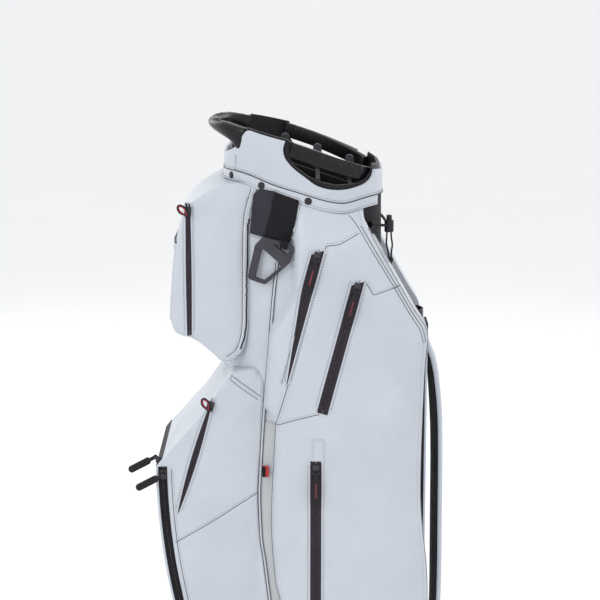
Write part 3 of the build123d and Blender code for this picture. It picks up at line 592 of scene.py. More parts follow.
def soft_block(name, loop, face, inner, side, material, edge, seams, flats, wave, wall_push,
               wall_steps=6, mirrored=False, step=6.0, rise=0.0):
    """Padded pocket: a face over a side-view outline with round edges, and walls that run in to the body.

    face and inner give |y| at (x, z), edge is the rounding at (x, z), seams are sewn valleys, and
    flats are straight zip runs (start, end, half width) that stay in the CAD's plane.
    """
    widest = max(edge(x, z) for x, z in loop)
    rings = [widest * f for f in (0.06, 0.2, 0.42, 0.7, 1.0)]
    plane, faces = triangulate(loop, seams, rings, step)
    depth = distances(plane, loop, True)
    bedded = np.ones(len(plane))
    for start, end, half in flats:
        bedded = np.minimum(bedded, np.clip((distances(plane, [start, end]) - half) / 22, 0, 1))
    sewn = np.where(bedded > 0, np.min([distances(plane, s) for s in seams], axis=0), 99.0)
    points = []
    for (x, z), d, s, b in zip(plane, depth, sewn, bedded):
        radius = edge(x, z)
        t = 1 - min(d, radius) / radius
        drop = radius * (1 - sqrt(max(0.0, 1 - t * t)))
        lift = wave * wander(x, side * 40, z, 62, 3.1) + 0.45 * wave * wander(x, side * 9, z, 24, 7.7)
        lift = (lift + rise * ease(radius, radius + 45, d)) * ease(0, 20, d) * b
        dip = 1.1 * exp(-(s / 1.7) ** 2) - 0.5 * exp(-((s - 5) / 3.0) ** 2) * b
        points.append([x, face(x, z) - drop + lift - dip, z])
    total = len(points)

    border = border_of(faces)
    flat_loop = np.array([plane[i] for i in border])
    outward = offset_path(np.vstack([flat_loop[-1:], flat_loop, flat_loop[:1]]), 1.0)[1:-1] - flat_loop
    if inside(flat_loop + 0.5 * outward, flat_loop).mean() > 0.5:
        outward *= -1
    rows = [border]
    for j in range(1, wall_steps + 1):
        v = j / wall_steps
        rows.append(list(range(len(points), len(points) + len(border))))
        for i, (ox, oz) in zip(border, outward):
            x, y, z = points[i]
            shift = wall_push(x, z, v)
            points.append([x + shift * ox, y + (inner(x, z) - y) * v, z + shift * oz])
    for upper, lower in zip(rows, rows[1:]):
        faces += [[a, c, d, b] for a, b, c, d in zip(upper, upper[1:] + upper[:1], lower, lower[1:] + lower[:1])]

    cap = dict(zip(border, rows[-1]))
    for i in range(total):
        if i not in cap:
            x, z = plane[i]
            cap[i] = len(points)
            points.append([x, inner(x, z), z])
    for face_points in faces[:]:
        if max(face_points) < total:
            back = [cap[i] for i in face_points][::-1]
            if not (mirrored and all(abs(points[i][1]) < 1e-6 for i in back)):
                faces.append(back)
    if mirrored:
        count = len(points)
        faces += [[i + count for i in f][::-1] for f in faces]
        points = [[x, -y, z] for x, y, z in points] + points
    else:
        points = [[x, side * y, z] for x, y, z in points]
    return mesh_object(name, points, faces, material)


def sheet(name, outer, within, faces, border, material):
    """Thin solid: one net of faces outside and inside, joined along the border's edges."""
    count = len(outer)
    faces = faces + [[i + count for i in f][::-1] for f in faces]
    faces += [[a, a + count, b + count, b] for a, b in border]
    return mesh_object(name, outer + within, faces, material)


def wrapped(name, loop, grow, material, thickness=2.0, step=8.0, wave=0.0, whole=False):
    """Sheet that follows the bag's round plan: loop is (s, z), grow the offset from the collar's face.

    whole says that the sheet goes right round, so its two ends are welded and get no wall.
    """
    plane, faces = triangulate(loop, step=step)
    grow_at = grow if callable(grow) else (lambda s, z: grow)
    outer, within = [], []
    for s, z in plane:
        level = grow_at(s, z) + wave * wander(s, 0, z, 55, 5.3)
        outer.append((*round_plan(s, level)[:2], z))
        within.append((*round_plan(s, level - thickness)[:2], z))
    border = border_of(faces)

    def welded(a, b):
        return whole and abs(plane[a][0] - plane[b][0]) < 1e-6 and plane[a][0] in (0.0, WHOLE)

    edges = [(a, b) for a, b in zip(border, border[1:] + border[:1]) if not welded(a, b)]
    return sheet(name, outer, within, faces, edges, material)


def tree_of(piece):
    mesh = piece.data
    return BVHTree.FromPolygons([v.co / MM for v in mesh.vertices], [p.vertices[:] for p in mesh.polygons])


def surface_of(piece):
    """Ray casting onto a piece's own faces, in millimetres."""
    tree = tree_of(piece)

    def land(x, z, side):
        spot, normal, _, _ = tree.ray_cast(Vector((x, side * 400, z)), Vector((0, -side, 0)))
        if spot is None:
            spot, normal, _, _ = tree.find_nearest(Vector((x, side * 120, z)))
        if normal.y * side < 0:
            normal = -normal
        return tuple(spot), tuple(normal)
    return land


def laid(land, path, side, step=3.0):
    """Side-view path dropped onto a surface, as points and normals."""
    spots = [land(x, z, side) for x, z in along(path, step)]
    return [s for s, _ in spots], [n for _, n in spots]


def piping(name, land, path, side, radius=0.5, material=SEAM_AND_SHADOW_PAINT):
    swept(name, *laid(land, path, side), round_section(radius, 8, 0.1), material)


def rounded(points, radius, step=5.0, closed=False):
    """Straight runs with each corner eased by a short curve."""
    points = [np.array(p, float) for p in points]
    count = len(points)
    out = []
    for i, here in enumerate(points):
        if not closed and i in (0, count - 1):
            out.append(tuple(here))
            continue
        before, after = points[i - 1], points[(i + 1) % count]
        cut = [here + (p - here) * min(1.0, min(radius, 0.45 * np.linalg.norm(p - here)) / np.linalg.norm(p - here))
               for p in (before, after)]
        for k in range(5):
            t = k / 4
            out.append(tuple((1 - t) ** 2 * cut[0] + 2 * t * (1 - t) * here + t * t * cut[1]))
    return polyline(out + out[:1], step)[:-1] if closed else polyline(out, step)


def on_round(path, grow):
    """Points and outward normals of an (s, z) path on the round plan."""
    points, ups = [], []
    for s, z in path:
        x, y, nx, ny = round_plan(s % (2 * HALF_ROUND), grow)
        points.append((x, y, z))
        ups.append((nx, ny, 0))
    return points, ups


# ---------------------------------------------------------------- collar, band and snaps
RIM = [(-130, 912), (-82, 903), (-25, 889), (93, 849), (130, 834)]
CUT_OUT = [(-29, 890), (-32, 880), (-30, 868), (-22, 857), (-12, 848), (0, 839), (14, 829), (34, 823), (55, 822),
           (78, 826), (88, 831), (93, 837), (95, 845)]
BAND = 14.0
BAND_END = 99.0                      # the band stops a little short of the back


def seam_height(x):
    """Collar seam, lifted at the front and drooping over the side pockets."""
    droop_width = 55 if x < 46 else 32
    return 822 - 0.128 * x + 10 * exp(-((x + 90) / 38) ** 2) - 12.5 * exp(-((x - 46) / droop_width) ** 2)


def seam_path(start, end, drop=0.0, step=5.0):
    """(s, z) run along the collar seam."""
    count = int(abs(end - start) / step) + 1
    run = [start + (end - start) * i / count for i in range(count + 1)]
    return [(s, seam_height(round_plan(s % WHOLE)[0]) - drop) for s in run]


def collar():
    front = rounded([(0, 864), (s_at(-113), 866), (s_at(-104), 873), (s_at(-97), 878), (s_at(-82), 903),
                     (s_at(-29), value_on(RIM, -29))], 6)
    opening = curve([(s_at(x), z) for x, z in CUT_OUT], 4)
    back = polyline([(s_at(95), 845), (HALF_ROUND, 838)], 6)
    top = front + opening[1:] + back[1:]
    top += [(WHOLE - s, z) for s, z in top[-2::-1]]
    low = seam_path(0, WHOLE)
    loop = low + polyline([low[-1], top[-1]], 6)[1:-1] + top[::-1] + polyline([top[0], low[0]], 6)[1:-1]
    shell = wrapped("collar", loop, 0.0, LEATHER, thickness=3.4, step=7, wave=0.35, whole=True)
    bevelled(shell, 0.9, 3)
    belongs(shell, "shell_leather", "collar_shell")

    thread = Stitches()
    for side, label in SIDES:
        corner = [(s_at(-98, side), 866), (s_at(-99, side), 848), (s_at(-101, side), 837)]
        swept(f"collar_corner_seam_{label}", *on_round(along(corner, 3), 0.1), welt_section(0.9, 0.35), THREAD)
        thread.fine(*on_round(along([(s - side * 2.6, z) for s, z in corner], 3), 0.2))
    run = s_at(BAND_END)
    thread.row(*on_round(seam_path(-run, run, BAND - 3.0), 1.2))
    thread.fine(*on_round(seam_path(0, WHOLE, -3.4), 0.25))
    thread.make("collar_stitches")

    swept("collar_band_cover", *on_round(seam_path(-run, run, BAND / 2, 4), 0),
          box_section(-BAND / 2, BAND / 2, -3, 1.1, 1.0), LEATHER, "shell_leather", "collar_band")
    swept("collar_seam", *on_round(seam_path(0, WHOLE)[:-1], 0), round_section(1.0, 8, 0.2), closed=True)


def snaps():
    """Domed press studs for the rain hood, three on each side of the band."""
    profile = [(0, 2.5), (1.6, 2.35), (3.0, 1.8), (3.5, 1.1), (3.9, 0.9), (4.4, 1.25), (4.9, 1.1),
               (5.1, 0.3), (5.1, -1)]
    points, faces = [], []
    turns = 20
    up = np.array((0, 0, 1.0))
    for x in (-103, -61, 2.5):
        for side, _ in SIDES:
            px, py, nx, ny = round_plan(s_at(x, side), 1.2)
            spot = np.array((px, py, seam_height(x) - BAND / 2))
            out = np.array((nx, ny, 0))
            across = np.cross(out, up)
            base = len(points)
            for r, h in profile:
                for k in range(turns):
                    a = 2 * pi * k / turns
                    points.append(tuple(spot + h * out + r * (cos(a) * across + sin(a) * up)))
            faces += tube_faces(len(profile), turns, base)
            faces.append(list(range(len(points) - turns, len(points))))
    belongs(mesh_object("collar_snaps", points, faces, SNAP), "rivet_black", "collar_rivets")


collar()
snaps()


# ---------------------------------------------------------------- body cover and spine fabric
def body_cover():
    low = [(s, 97.0) for s, _ in seam_path(0, WHOLE, 0, 8)]
    top = seam_path(0, WHOLE, BAND - 3, 8)
    side_up = polyline([low[-1], top[-1]], 12)[1:-1]
    loop = low + side_up + top[::-1] + [(0.0, z) for _, z in side_up[::-1]]
    cover = wrapped("body_cover", loop, SKIN_OUT, LEATHER, thickness=2.4, step=10, wave=0.8, whole=True)
    belongs(cover, "shell_leather", "body_skin")

    start, end = s_at(60), s_at(60, FAR)
    top = seam_path(start, end, 1.0, 6)
    loop = polyline([(start, 600), (end, 600)], 9) + top[::-1]
    loop = polyline(loop + loop[:1], 12)[:-1]
    spine = wrapped("spine_fabric", loop, SKIN_OUT + 1.5, BALLISTIC, thickness=1.2, step=9, wave=1.0)
    belongs(spine, "spine_fabric", "spine_panel")


body_cover()


# ---------------------------------------------------------------- pockets
def side_base(x):
    return 142 - 42 * max(0.0, (x - 95) / 77) ** 2.2


LEFT_EDGE = [(-34, 812), (-38, 765), (-42, 722), (-48, 668), (-56, 568), (-60.5, 515), (-44, 492), (-47, 431),
             (-48.5, 409), (-50, 335), (-44.5, 260), (-37.4, 230), (-30, 150), (-24, 104)]
MOUTH = [(79, 794), (79.5, 783), (86, 770), (121.8, 707), (150, 657), (167, 629), (171.5, 610)]
MOUTH_SEAM = [(59, 787), (73, 769), (114, 702), (142, 653), (158, 626), (163.5, 606)]
BACK_EDGE = [(171.5, 610), (166.6, 551), (163.5, 384), (173.5, 279), (176, 234), (175, 180), (168, 118)]


def left_edge(z):
    return float(np.interp(z, [p[1] for p in LEFT_EDGE[::-1]], [p[0] for p in LEFT_EDGE[::-1]]))


def side_face(x, z):
    """|y| of a side pocket's outer face: flat, rounded to the back, hugging the cover at the left and top."""
    base = side_base(x)
    high = ease(620, 690, z)
    start = left_edge(z) * (1 - high) - 17 * high
    u = min(1.0, max(0.0, (x - start) / (16 - 3 * high)))
    hug = half_width(x, SKIN_OUT) + 1.6
    level = hug + (base - hug) * sqrt(1 - (1 - u) ** 2) if base > hug else base
    lean = ease(742, 806, z)
    top = half_width(x, 0.4)
    return level + (min(top, level) - level) * lean


def side_inner(x, z):
    return max(66.0, half_width(x, SKIN_OUT + 0.4))


def side_loop():
    edge = [(x, seam_height(x) - BAND - 0.4) for x in range(-34, 79, 6)]
    left = curve(LEFT_EDGE[:6], 5) + curve(LEFT_EDGE[6:], 5)
    return (polyline(edge, 5) + curve(MOUTH, 5) + curve(BACK_EDGE, 5)[1:]
            + polyline([(150, 101), (-10, 101)], 6) + left[::-1][:-1])


def mouth_sag(x, z, v):
    """The pocket's mouth is closed by slack fabric that dips between its edges."""
    near_mouth = float(distances([(x, z)], MOUTH)[0]) < 3
    return -9 * sin(pi * min(1.0, v)) if near_mouth and x > 70 else 0.0


ZIP_UPPER, ZIP_SLASH = ((-163.5, 797), (-163.5, 618)), ((-133, 521), (-181.5, 360))
ZIP_FRONT_PANEL, ZIP_MID_PANEL = ((16, 742), (-33, 560)), ((71, 699), (23, 517))
ZIP_LOWER_PANEL, ZIP_FAR_PANEL = ((13.5, 440), (13.5, 150)), ((30, 700), (30, 250))
NEAR_SEAMS = {"garage": [(27, 749), (-23, 561), (-43, 495)],
              "thigh": [(-43, 495), (-20, 502), (12.8, 510.5), (32, 514)],
              "shoulder": [(27, 749), (45, 751), (72, 765)],
              "hip": [(82, 698), (92, 681), (128, 693)]}
FAR_SEAMS = {"shoulder": [(-8, 735), (40, 742), (72, 765)], "hip": [(-56, 560), (0, 540), (60, 545), (166, 560)]}


def offset_inside(path, amount):
    """The path resampled and moved sideways."""
    return [tuple(p) for p in offset_path(along(path, 5), amount)]


def side_pocket(side, label, zips, seams):
    mouth_line, mouth_edge, back_edge = curve(MOUTH_SEAM, 4), curve(MOUTH, 4), curve(BACK_EDGE, 5)
    block = soft_block(f"side_pocket_{label}_cover", side_loop(), side_face, side_inner, side, LEATHER,
                       edge=lambda x, z: 2.2 + 2.8 * ease(20, 60, x), seams=[*seams.values(), mouth_line],
                       flats=[(start, end, 9.0) for start, end in zips], wave=1.5, wall_push=mouth_sag, step=6.5)
    belongs(block, "shell_leather", f"side_pocket_{label}")
    land = surface_of(block)
    thread = Stitches()
    for name, path in seams.items():
        piping(f"seam_{name}_{label}", land, path, side)
        thread.fine(*laid(land, offset_path(along(path, 4), 3.2), side))
    piping(f"mouth_{label}_line", land, mouth_line, side)
    piping(f"mouth_{label}_binding_line", land, offset_inside(mouth_line, 4.0)[4:], side, 0.45)
    piping(f"mouth_{label}_edge", land, offset_inside(mouth_edge, -1.0)[5:], side)
    piping(f"back_{label}_edge", land, offset_inside(back_edge, -1.0), side, 0.6)
    thread.fine(*laid(land, offset_inside(mouth_edge, -5.5), side))
    thread.fine(*laid(land, offset_inside(back_edge, -6.0), side))
    # Painted shadow: a dark tube along the gusset's back edge stands in for the shadow gap between the gusset and
    # the side pocket.
    piping(f"gusset_{label}_back_line", land, [(x + 1.2, z) for x, z in curve(LEFT_EDGE[6:], 5)], side)
    thread.make(f"side_pocket_{label}_stitches")
    return land


near_land = side_pocket(NEAR, "near", (ZIP_FRONT_PANEL, ZIP_MID_PANEL, ZIP_LOWER_PANEL), NEAR_SEAMS)
side_pocket(FAR, "far", (ZIP_FAR_PANEL,), FAR_SEAMS)

UPPER_RIGHT = [(-66.5, 825), (-78, 777), (-80, 687), (-81.5, 624), (-88.7, 592.5), (-105, 577)]


def upper_face(x, z):
    return max(96.0, half_width(x, SKIN_OUT) + 3.2)


def front_inner(x, z):
    return half_width(x, SKIN_OUT + 0.4) if z > 98 else half_width(x, 3.7)


def front_bulge(depth, bed=None):
    """Outward push of a pocket's front wall, none of it at the height of a zip bedded in that wall."""
    def push(x, z, v):
        if x >= -116:
            return 0.0
        free = 1.0 if bed is None else ease(9, 34, abs(z - bed))
        return free * (depth * sin(pi / 2 * v) + 1.2 * wander(x, 60 * v, z, 30, 2.2) * v)
    return push


def upper_pocket():
    left = [(-105, 577), (-119, 576), (-131, 586), (-157, 606), (-178, 613), (-188, 624), (-188, 660), (-180, 745),
            (-170, 786), (-158, 803), (-134, 819), (-112, 828), (-90, 829), (-66.5, 825)]
    loop = curve(UPPER_RIGHT, 5)[:-1] + curve(left, 5)[:-1]
    binding_line = curve([(-76, 823), (-87, 777), (-89, 687), (-90.5, 624), (-98, 595), (-112, 583)], 5)
    block = soft_block("upper_pocket_cover", loop, upper_face, front_inner, NEAR, LEATHER,
                       edge=lambda x, z: 3.5 + 7.5 * (1 - ease(-150, -112, x)), seams=[binding_line],
                       flats=[(*ZIP_UPPER, 5.5)], wave=1.6, wall_steps=14,
                       wall_push=front_bulge(3.5), mirrored=True, rise=2.5)
    belongs(block, "shell_leather", "upper_pocket")
    land = surface_of(block)
    thread = Stitches()
    for side, label in SIDES:
        # Painted shadow: a dark tube along the pocket's right edge stands in for the shadow gap between the pocket
        # and the body.
        piping(f"upper_edge_{label}", land, offset_inside(curve(UPPER_RIGHT[1:5], 5), 1.2), side, 1.1, COIL_AND_PAINTED_SHADOW)
        piping(f"upper_binding_{label}", land, binding_line, side)
        thread.fine(*laid(land, offset_path(binding_line, 4.0), side))
    thread.make("upper_pocket_stitches")
    return block


upper_block = upper_pocket()

ARC_R, ARC_X, ARC_Z = 1000.0, 797.0, 430.8          # the ball pocket's zip runs on this circle
FRONT_ZIP_X, FRONT_ZIP_Z = -208.5, 430.0            # middle line of the zip across its slope


def on_zip_arc(z, inward=0.0):
    turn = asin((z - ARC_Z) / ARC_R)
    return ARC_X - (ARC_R - inward) * cos(turn), ARC_Z + (ARC_R - inward) * sin(turn)


BALL_RIGHT = [(-60, 548), (-62.2, 495.5), (-67.5, 407), (-68.4, 378), (-65.8, 318), (-61.6, 288), (-54, 227),
              (-46, 165), (-42, 103)]


def ball_face(x, z):
    return max(105.0, half_width(x, SKIN_OUT) + 2.8)


def ball_pocket():
    top = rounded([(-60, 548), (-69, 569), (-104, 563), (-150, 497), (-204, 436), (-213.5, 424)], 8)
    front = [on_zip_arc(z, -11) for z in range(408, 118, -6)]
    low = rounded([on_zip_arc(118, -11), (-150, 60), (-120, 49), (-72, 49), (-71, 99), (-43, 101)], 14)
    loop = top + front + low[1:] + curve(BALL_RIGHT[::-1], 5)[1:-1]
    seams = {"ball_diagonal": [(-186, 312), (-130, 346), (-69, 386)],
             "ball_top": [(-107, 560), (-88, 545), (-64, 528)],
             "ball_zip_welt": [on_zip_arc(z, 11.5) for z in range(420, 110, -12)]}
    block = soft_block("ball_pocket_cover", loop, ball_face, front_inner, NEAR, LEATHER,
                       edge=lambda x, z: 3.0 + 6 * ease(110, 60, z) + 3 * ease(450, 500, z),
                       seams=list(seams.values()), flats=[(*ZIP_SLASH, 7.0)], wave=1.7,
                       wall_steps=15, wall_push=front_bulge(3.5, bed=FRONT_ZIP_Z), mirrored=True, rise=1.5)
    belongs(block, "shell_leather", "ball_pocket")
    land = surface_of(block)
    thread = Stitches()
    for side, label in SIDES:
        for name, path in seams.items():
            piping(f"{name}_{label}", land, path, side)
        piping(f"ball_top_binding_{label}", land, [(x - 4, z - 4.5) for x, z in seams["ball_top"]], side, 0.4)
        thread.fine(*laid(land, offset_path(along(seams["ball_diagonal"], 4), 3.2), side))
        thread.fine(*laid(land, [on_zip_arc(z, 14.5) for z in range(418, 110, -8)], side))
    thread.make("ball_pocket_stitches")


ball_pocket()


# ---------------------------------------------------------------- gussets and their bindings
def gussets():
    front, back = BALL_RIGHT[1:], LEFT_EDGE[6:]
    for side, label in SIDES:
        loop = [(s_at(x - 3, side), z) for x, z in curve(front, 6)]
        loop += [(s_at(x + 6, side), z) for x, z in curve(back, 6)[::-1]]
        # The gusset's darker leather is painted shade on the recessed band.
        piece = wrapped(f"gusset_{label}_cover", loop, SKIN_OUT + 1.6, SHADED_GUSSET_LEATHER, thickness=1.2, step=6, wave=0.6)
        belongs(piece, "grey_leather", f"gusset_{label}")
        line = [(s_at(x, side), z) for x, z in curve([(-42, 722), (-48, 668), (-56, 568)] + front, 4)]
        for shift in (0.0, 4.2):
            beside = on_round([(s - side * shift, z) for s, z in line], SKIN_OUT + 2.9)
            swept(f"gusset_{label}_line_{int(shift)}", *beside,
                  round_section(0.5))
        swept(f"gusset_{label}_binding", *on_round([(s - side * 2.1, z) for s, z in line], SKIN_OUT + 1.2),
              welt_section(4.0, 2.4), LEATHER)


gussets()


# ---------------------------------------------------------------- slip pocket on the front
def slip_pocket():
    """Open pocket sewn on the upper pocket's front."""
    tree = tree_of(upper_block)
    half, low, high = 84.0, 630.0, 744.0
    columns, rows = 42, 26
    outer, within = [], []
    for j in range(rows + 1):
        for i in range(columns + 1):
            y, z = -half + 2 * half * i / columns, low + (high - low) * j / rows
            z -= 5 * (1 - (y / half) ** 2) * (j / rows) ** 3
            spot, normal, _, _ = tree.ray_cast(Vector((-400, y, z)), Vector((1, 0, 0)))
            to_edge = min(half - abs(y), z - low)
            lift = 0.4 + 2.0 * ease(0, 6, to_edge) + 1.2 * wander(0, y, z, 34, 1.7) * ease(0, 25, to_edge)
            outer.append(tuple(spot + normal * (lift if normal.x < 0 else -lift)))
            within.append(tuple(spot - Vector((-0.4, 0, 0))))
    width = columns + 1
    faces = [[a, a + 1, a + 1 + width, a + width]
             for a in (j * width + i for j in range(rows) for i in range(columns))]
    border = border_of(faces)
    piece = sheet("slip_pocket", outer, within, faces, zip(border, border[1:] + border[:1]), LEATHER)
    belongs(piece, "shell_leather")
    hem = outer[rows * width:]
    swept("slip_pocket_hem", hem, [(-1, 0, 0)] * len(hem), round_section(1.3, 8, 0.2))
    thread = Stitches()
    for j, lift in ((rows - 2, 0.5), (1, 0.4)):
        run = along([(x - lift + 0.3, y, z) for x, y, z in outer[j * width:(j + 1) * width]], 3)
        thread.row(run, [(-1, 0, 0)] * len(run))
    thread.make("slip_pocket_stitches")


slip_pocket()


# ---------------------------------------------------------------- moulded handles
HANDLE_TOP = [(-139, 904), (-136, 907.5), (-128, 910.5), (-112, 911), (-95, 907), (-79, 904), (-70, 902)]
HANDLE_UNDER = [(-139, 900), (-130, 897.5), (-118, 893), (-103, 886), (-95, 880), (-88, 872), (-70, 868)]


def front_handle():
    """Glossy grab loop, flat on top, deepest where it meets the collar."""
    def spot(turn, swell=1.0):
        return -70 - 60.5 * cos(radians(turn)) * swell, 84.2 * sin(radians(turn)) * swell

    reach = 76
    # the cross-section: across, share of the half height, and what is added to it
    profile = [(-8.5, 0.42, 0), (-7.3, 0.78, 0), (-5.3, 1, -0.7), (-3.0, 1, 0), (3.0, 1, 0), (6.1, 1, -0.8),
               (7.7, 0.72, 0), (8.5, 0.3, 0), (7.6, -0.35, 0), (5.3, -0.86, 0), (2.0, -1, 0), (-3.2, -1, 0),
               (-6.3, -0.72, 0), (-8.0, -0.1, 0)]
    path, sections = [], []
    for k in range(reach + 1):
        x, y = spot(-reach + 2 * k)
        top, under = value_on(HANDLE_TOP, x), value_on(HANDLE_UNDER, x)
        path.append((x, y, (top + under) / 2))
        sections.append([(a, (top - under) / 2 * share + more) for a, share, more in profile])
    handle = sweep("front_handle_moulding", path, [UP] * len(path), sections, MOULDED)
    smooth = handle.modifiers.new("smooth", "SUBSURF")
    smooth.levels = smooth.render_levels = 1
    belongs(handle, "moulded_black", "front_handle")
    # finger ridges pressed into the top, each side of the middle
    for turn in (-34, -26, -18, 18, 26, 34):
        top = value_on(HANDLE_TOP, spot(turn)[0]) + 0.15
        ridge = [(*spot(turn, 1 + t * 0.075), top - 0.5 * t * t) for t in (-1, -0.6, 0, 0.6, 1)]
        swept(f"handle_ridge_{'near' if turn < 0 else 'far'}_{abs(turn)}", ridge, [UP] * 5,
              box_section(-1.3, 1.3, -0.8, 0.6, 0.5), MOULDED, "moulded_black")


def side_grip(side, label):
    """Ribbed bar across a side cut-out: blocks outside, fine ribs inside, tabs at both ends."""
    path, sections = [], []
    start, end = s_at(-34, side), s_at(99, side)
    tab_start, tab_end = s_at(-22.5, side), s_at(78, side)
    count = 190
    turn = 1 if side == NEAR else -1
    for k in range(count + 1):
        s = start + (end - start) * k / count
        x, y, _, _ = round_plan(s, -11.0)
        path.append((x, y, value_on(RIM, round_plan(s)[0]) - 10.5))
        along_bar = turn * (s - tab_start)
        into = min(along_bar, turn * (tab_end - s))
        outer = 6.7 if into > 0 else 1.2
        if into > 3:
            groove = abs((along_bar + 8) % 20.5 - 10.25)
            outer -= 1.3 * max(0.0, 1 - groove / 1.5)
        rib = 0.7 * (0.5 + 0.5 * cos(2 * pi * along_bar / 4.0)) if into > 2 else 0.0
        sections.append([(turn * a, u) for a, u in box_section(-6.6 + rib, outer, -10.2, 10.2, 2.2)])
    bar = sweep(f"side_grip_{label}_moulding", path, [UP] * len(path), sections, MOULDED)
    smooth_by_angle(bar.data, 50)
    belongs(bar, "moulded_black", f"side_grip_{label}")


front_handle()
for grip_side, grip_label in SIDES:
    side_grip(grip_side, grip_label)


# ---------------------------------------------------------------- zips
SIDE_FACE, BALL_FACE, UPPER_FACE = 142.0, 105.0, 96.0         # |y| of the panels that carry the zips
TOOTH_PITCH, TOOTH_HALF = 2.3, 2.6
PIN_DOWN, PIN_OUT = 12.0, 7.4                                 # a pull's pin, from the zip's start and its panel


def zip_frame(start, end, face, side):
    """Origin, and the directions along the zip, across it to its right, and out of the panel."""
    run = np.array((end[0] - start[0], 0, end[1] - start[1]), float)
    length = float(np.linalg.norm(run))
    way = run / length
    out = np.array((0, side, 0), float)
    return np.array((start[0], side * face, start[1]), float), way, np.cross(out, way), out, length


def coil(name, teeth):
    """Interlocking teeth in one mesh; each is its spot, way, across, out and half width."""
    points, faces = [], []
    half_length, height = 0.55, 1.35
    for spot, way, across, out, half_width in teeth:
        base = len(points)
        for w, h in ((1.0, 0.2), (0.8, height), (-0.8, height), (-1.0, 0.2)):
            points += [tuple(spot + w * half_width * across + u * half_length * way + h * out) for u in (-1, 1)]
        faces += [[a, a + 1, a + 3, a + 2] for a in (base, base + 2, base + 4)]
        faces += [[base, base + 2, base + 4, base + 6], [base + 1, base + 7, base + 5, base + 3],
                  [base + 6, base + 7, base + 1, base]]
    belongs(mesh_object(name, points, faces, COIL_AND_PAINTED_SHADOW, smooth=False), "zip_tape")


def stagger(k):
    """Every other tooth sits a little to the side."""
    return 0.5 if k % 2 else -0.5


def straight_zip(name, run, face, side, width, slant=0.0, taper=0.0, wedge=None):
    """Two tape halves with a coil between, a rolled leather lip round them and a row of stitching.

    taper narrows both ends, and wedge is where the left half starts to close over the coil.
    """
    origin, way, across, out, length = zip_frame(*run, face, side)
    half = width / 2

    def spot(u, a, h):
        return origin + u * way + a * across + h * out

    def reach(u, sign=1):
        """Width of the left (-1) or right (1) half; past the coil the closing left half is below 0."""
        if sign < 1 and wedge is not None:
            return half - (2 * half - 1.5) * min(1.0, max(0.0, (u - wedge) / (length + 3 - wedge)))
        t = min(1.0, max(0.0, (u + 5) / (length + 10)))
        return half * (1 - taper * (1 - sin(pi * t)))

    for label, sign in (("left", -1), ("right", 1)):
        first = -5 + slant * (0.8 if sign < 0 else 0.25)
        count = int((length + 10) / 6)
        stations = [first + (length + 5 - first) * k / count for k in range(count + 1)]
        sections = []
        for u in stations:
            left = reach(u, -1)
            a0, a1 = (-max(0.45, left), -0.35) if sign < 0 else (max(0.35, -left), max(0.7 - left, reach(u)))
            sections.append([(-a, h) for a, h in box_section(a0, a1, -0.6, 0.55, 0.35, 2)])
        swept(f"{name}_{label}_tape", [spot(u, 0, 0.55) for u in stations], [out] * len(stations), sections,
              ZIP_TAPE, "zip_tape", *([f"{name}_tape"] if sign < 0 else []))
    first = 2 + 0.6 * slant
    stations = [first + k * TOOTH_PITCH for k in range(int((length - 2 - 0.6 * slant) / TOOTH_PITCH))]
    coil(f"{name}_coil", [(spot(u, stagger(k), 0), way, across, out, min(TOOTH_HALF, 0.4 * reach(u)))
                          for k, u in enumerate(stations) if reach(u, -1) > 1.2])

    edge = [(-5 + slant, -1), (-5 + slant / 2, 0), (-5, 1)] + [(u, 1) for u in np.linspace(8, length - 4, 12)]
    edge += [(length + 5, 1), (length + 5, -1)] + [(u, -1) for u in np.linspace(length - 4, 8 + slant, 12)]
    lip = [spot(u, sign * (reach(u, sign) + 0.6), 0.2) for u, sign in edge]
    ring = along(lip + lip[:1], 5)[:-1]
    swept(f"{name}_lip", ring, [out] * len(ring), welt_section(2.4, 1.25), LEATHER, closed=True)
    thread = Stitches()
    for sign in (-1, 1):
        row = [spot(u, sign * (reach(u, sign) + 3.4), 0.35) for u in np.linspace(0, length, 30)]
        thread.row(row, [out] * 30, width=0.7, height=0.4)
    thread.make(f"{name}_stitches")


def curved_zip():
    """The ball pocket's zip, along its curved front edge."""
    stations = [425 - 335 * k / 60 for k in range(61)]
    out = np.array((0, -1, 0), float)
    for label, first, last in (("front", -7, -0.4), ("back", 0.4, 5.5)):
        profile = ((first, 0.0), (first, 0.9), ((first + last) / 2, 1.15), (last, 1.1), (last, 0.0))
        points = [(x, -BALL_FACE - h, high) for z in stations for a, h in profile for x, high in [on_zip_arc(z, a)]]
        size = len(profile)
        faces = tube_faces(len(stations), size)
        faces += [list(range(size)), list(range(len(points) - size, len(points)))[::-1]]
        tape = mesh_object(f"zip_ball_{label}_tape", points, faces, WEBBING)
        smooth_by_angle(tape.data, 40)
        belongs(tape, "zip_tape", *(["zip_ball_tape"] if label == "front" else []))
    teeth = []
    for k in range(143):
        z = 420 - TOOTH_PITCH * k
        (x, high), (x2, high2) = on_zip_arc(z, stagger(k)), on_zip_arc(z - 1, stagger(k))
        way = np.array((x2 - x, 0, high2 - high))
        way /= np.linalg.norm(way)
        teeth.append((np.array((x, -BALL_FACE, high)), way, np.cross(out, way), out, TOOTH_HALF))
    coil("zip_ball_coil", teeth)


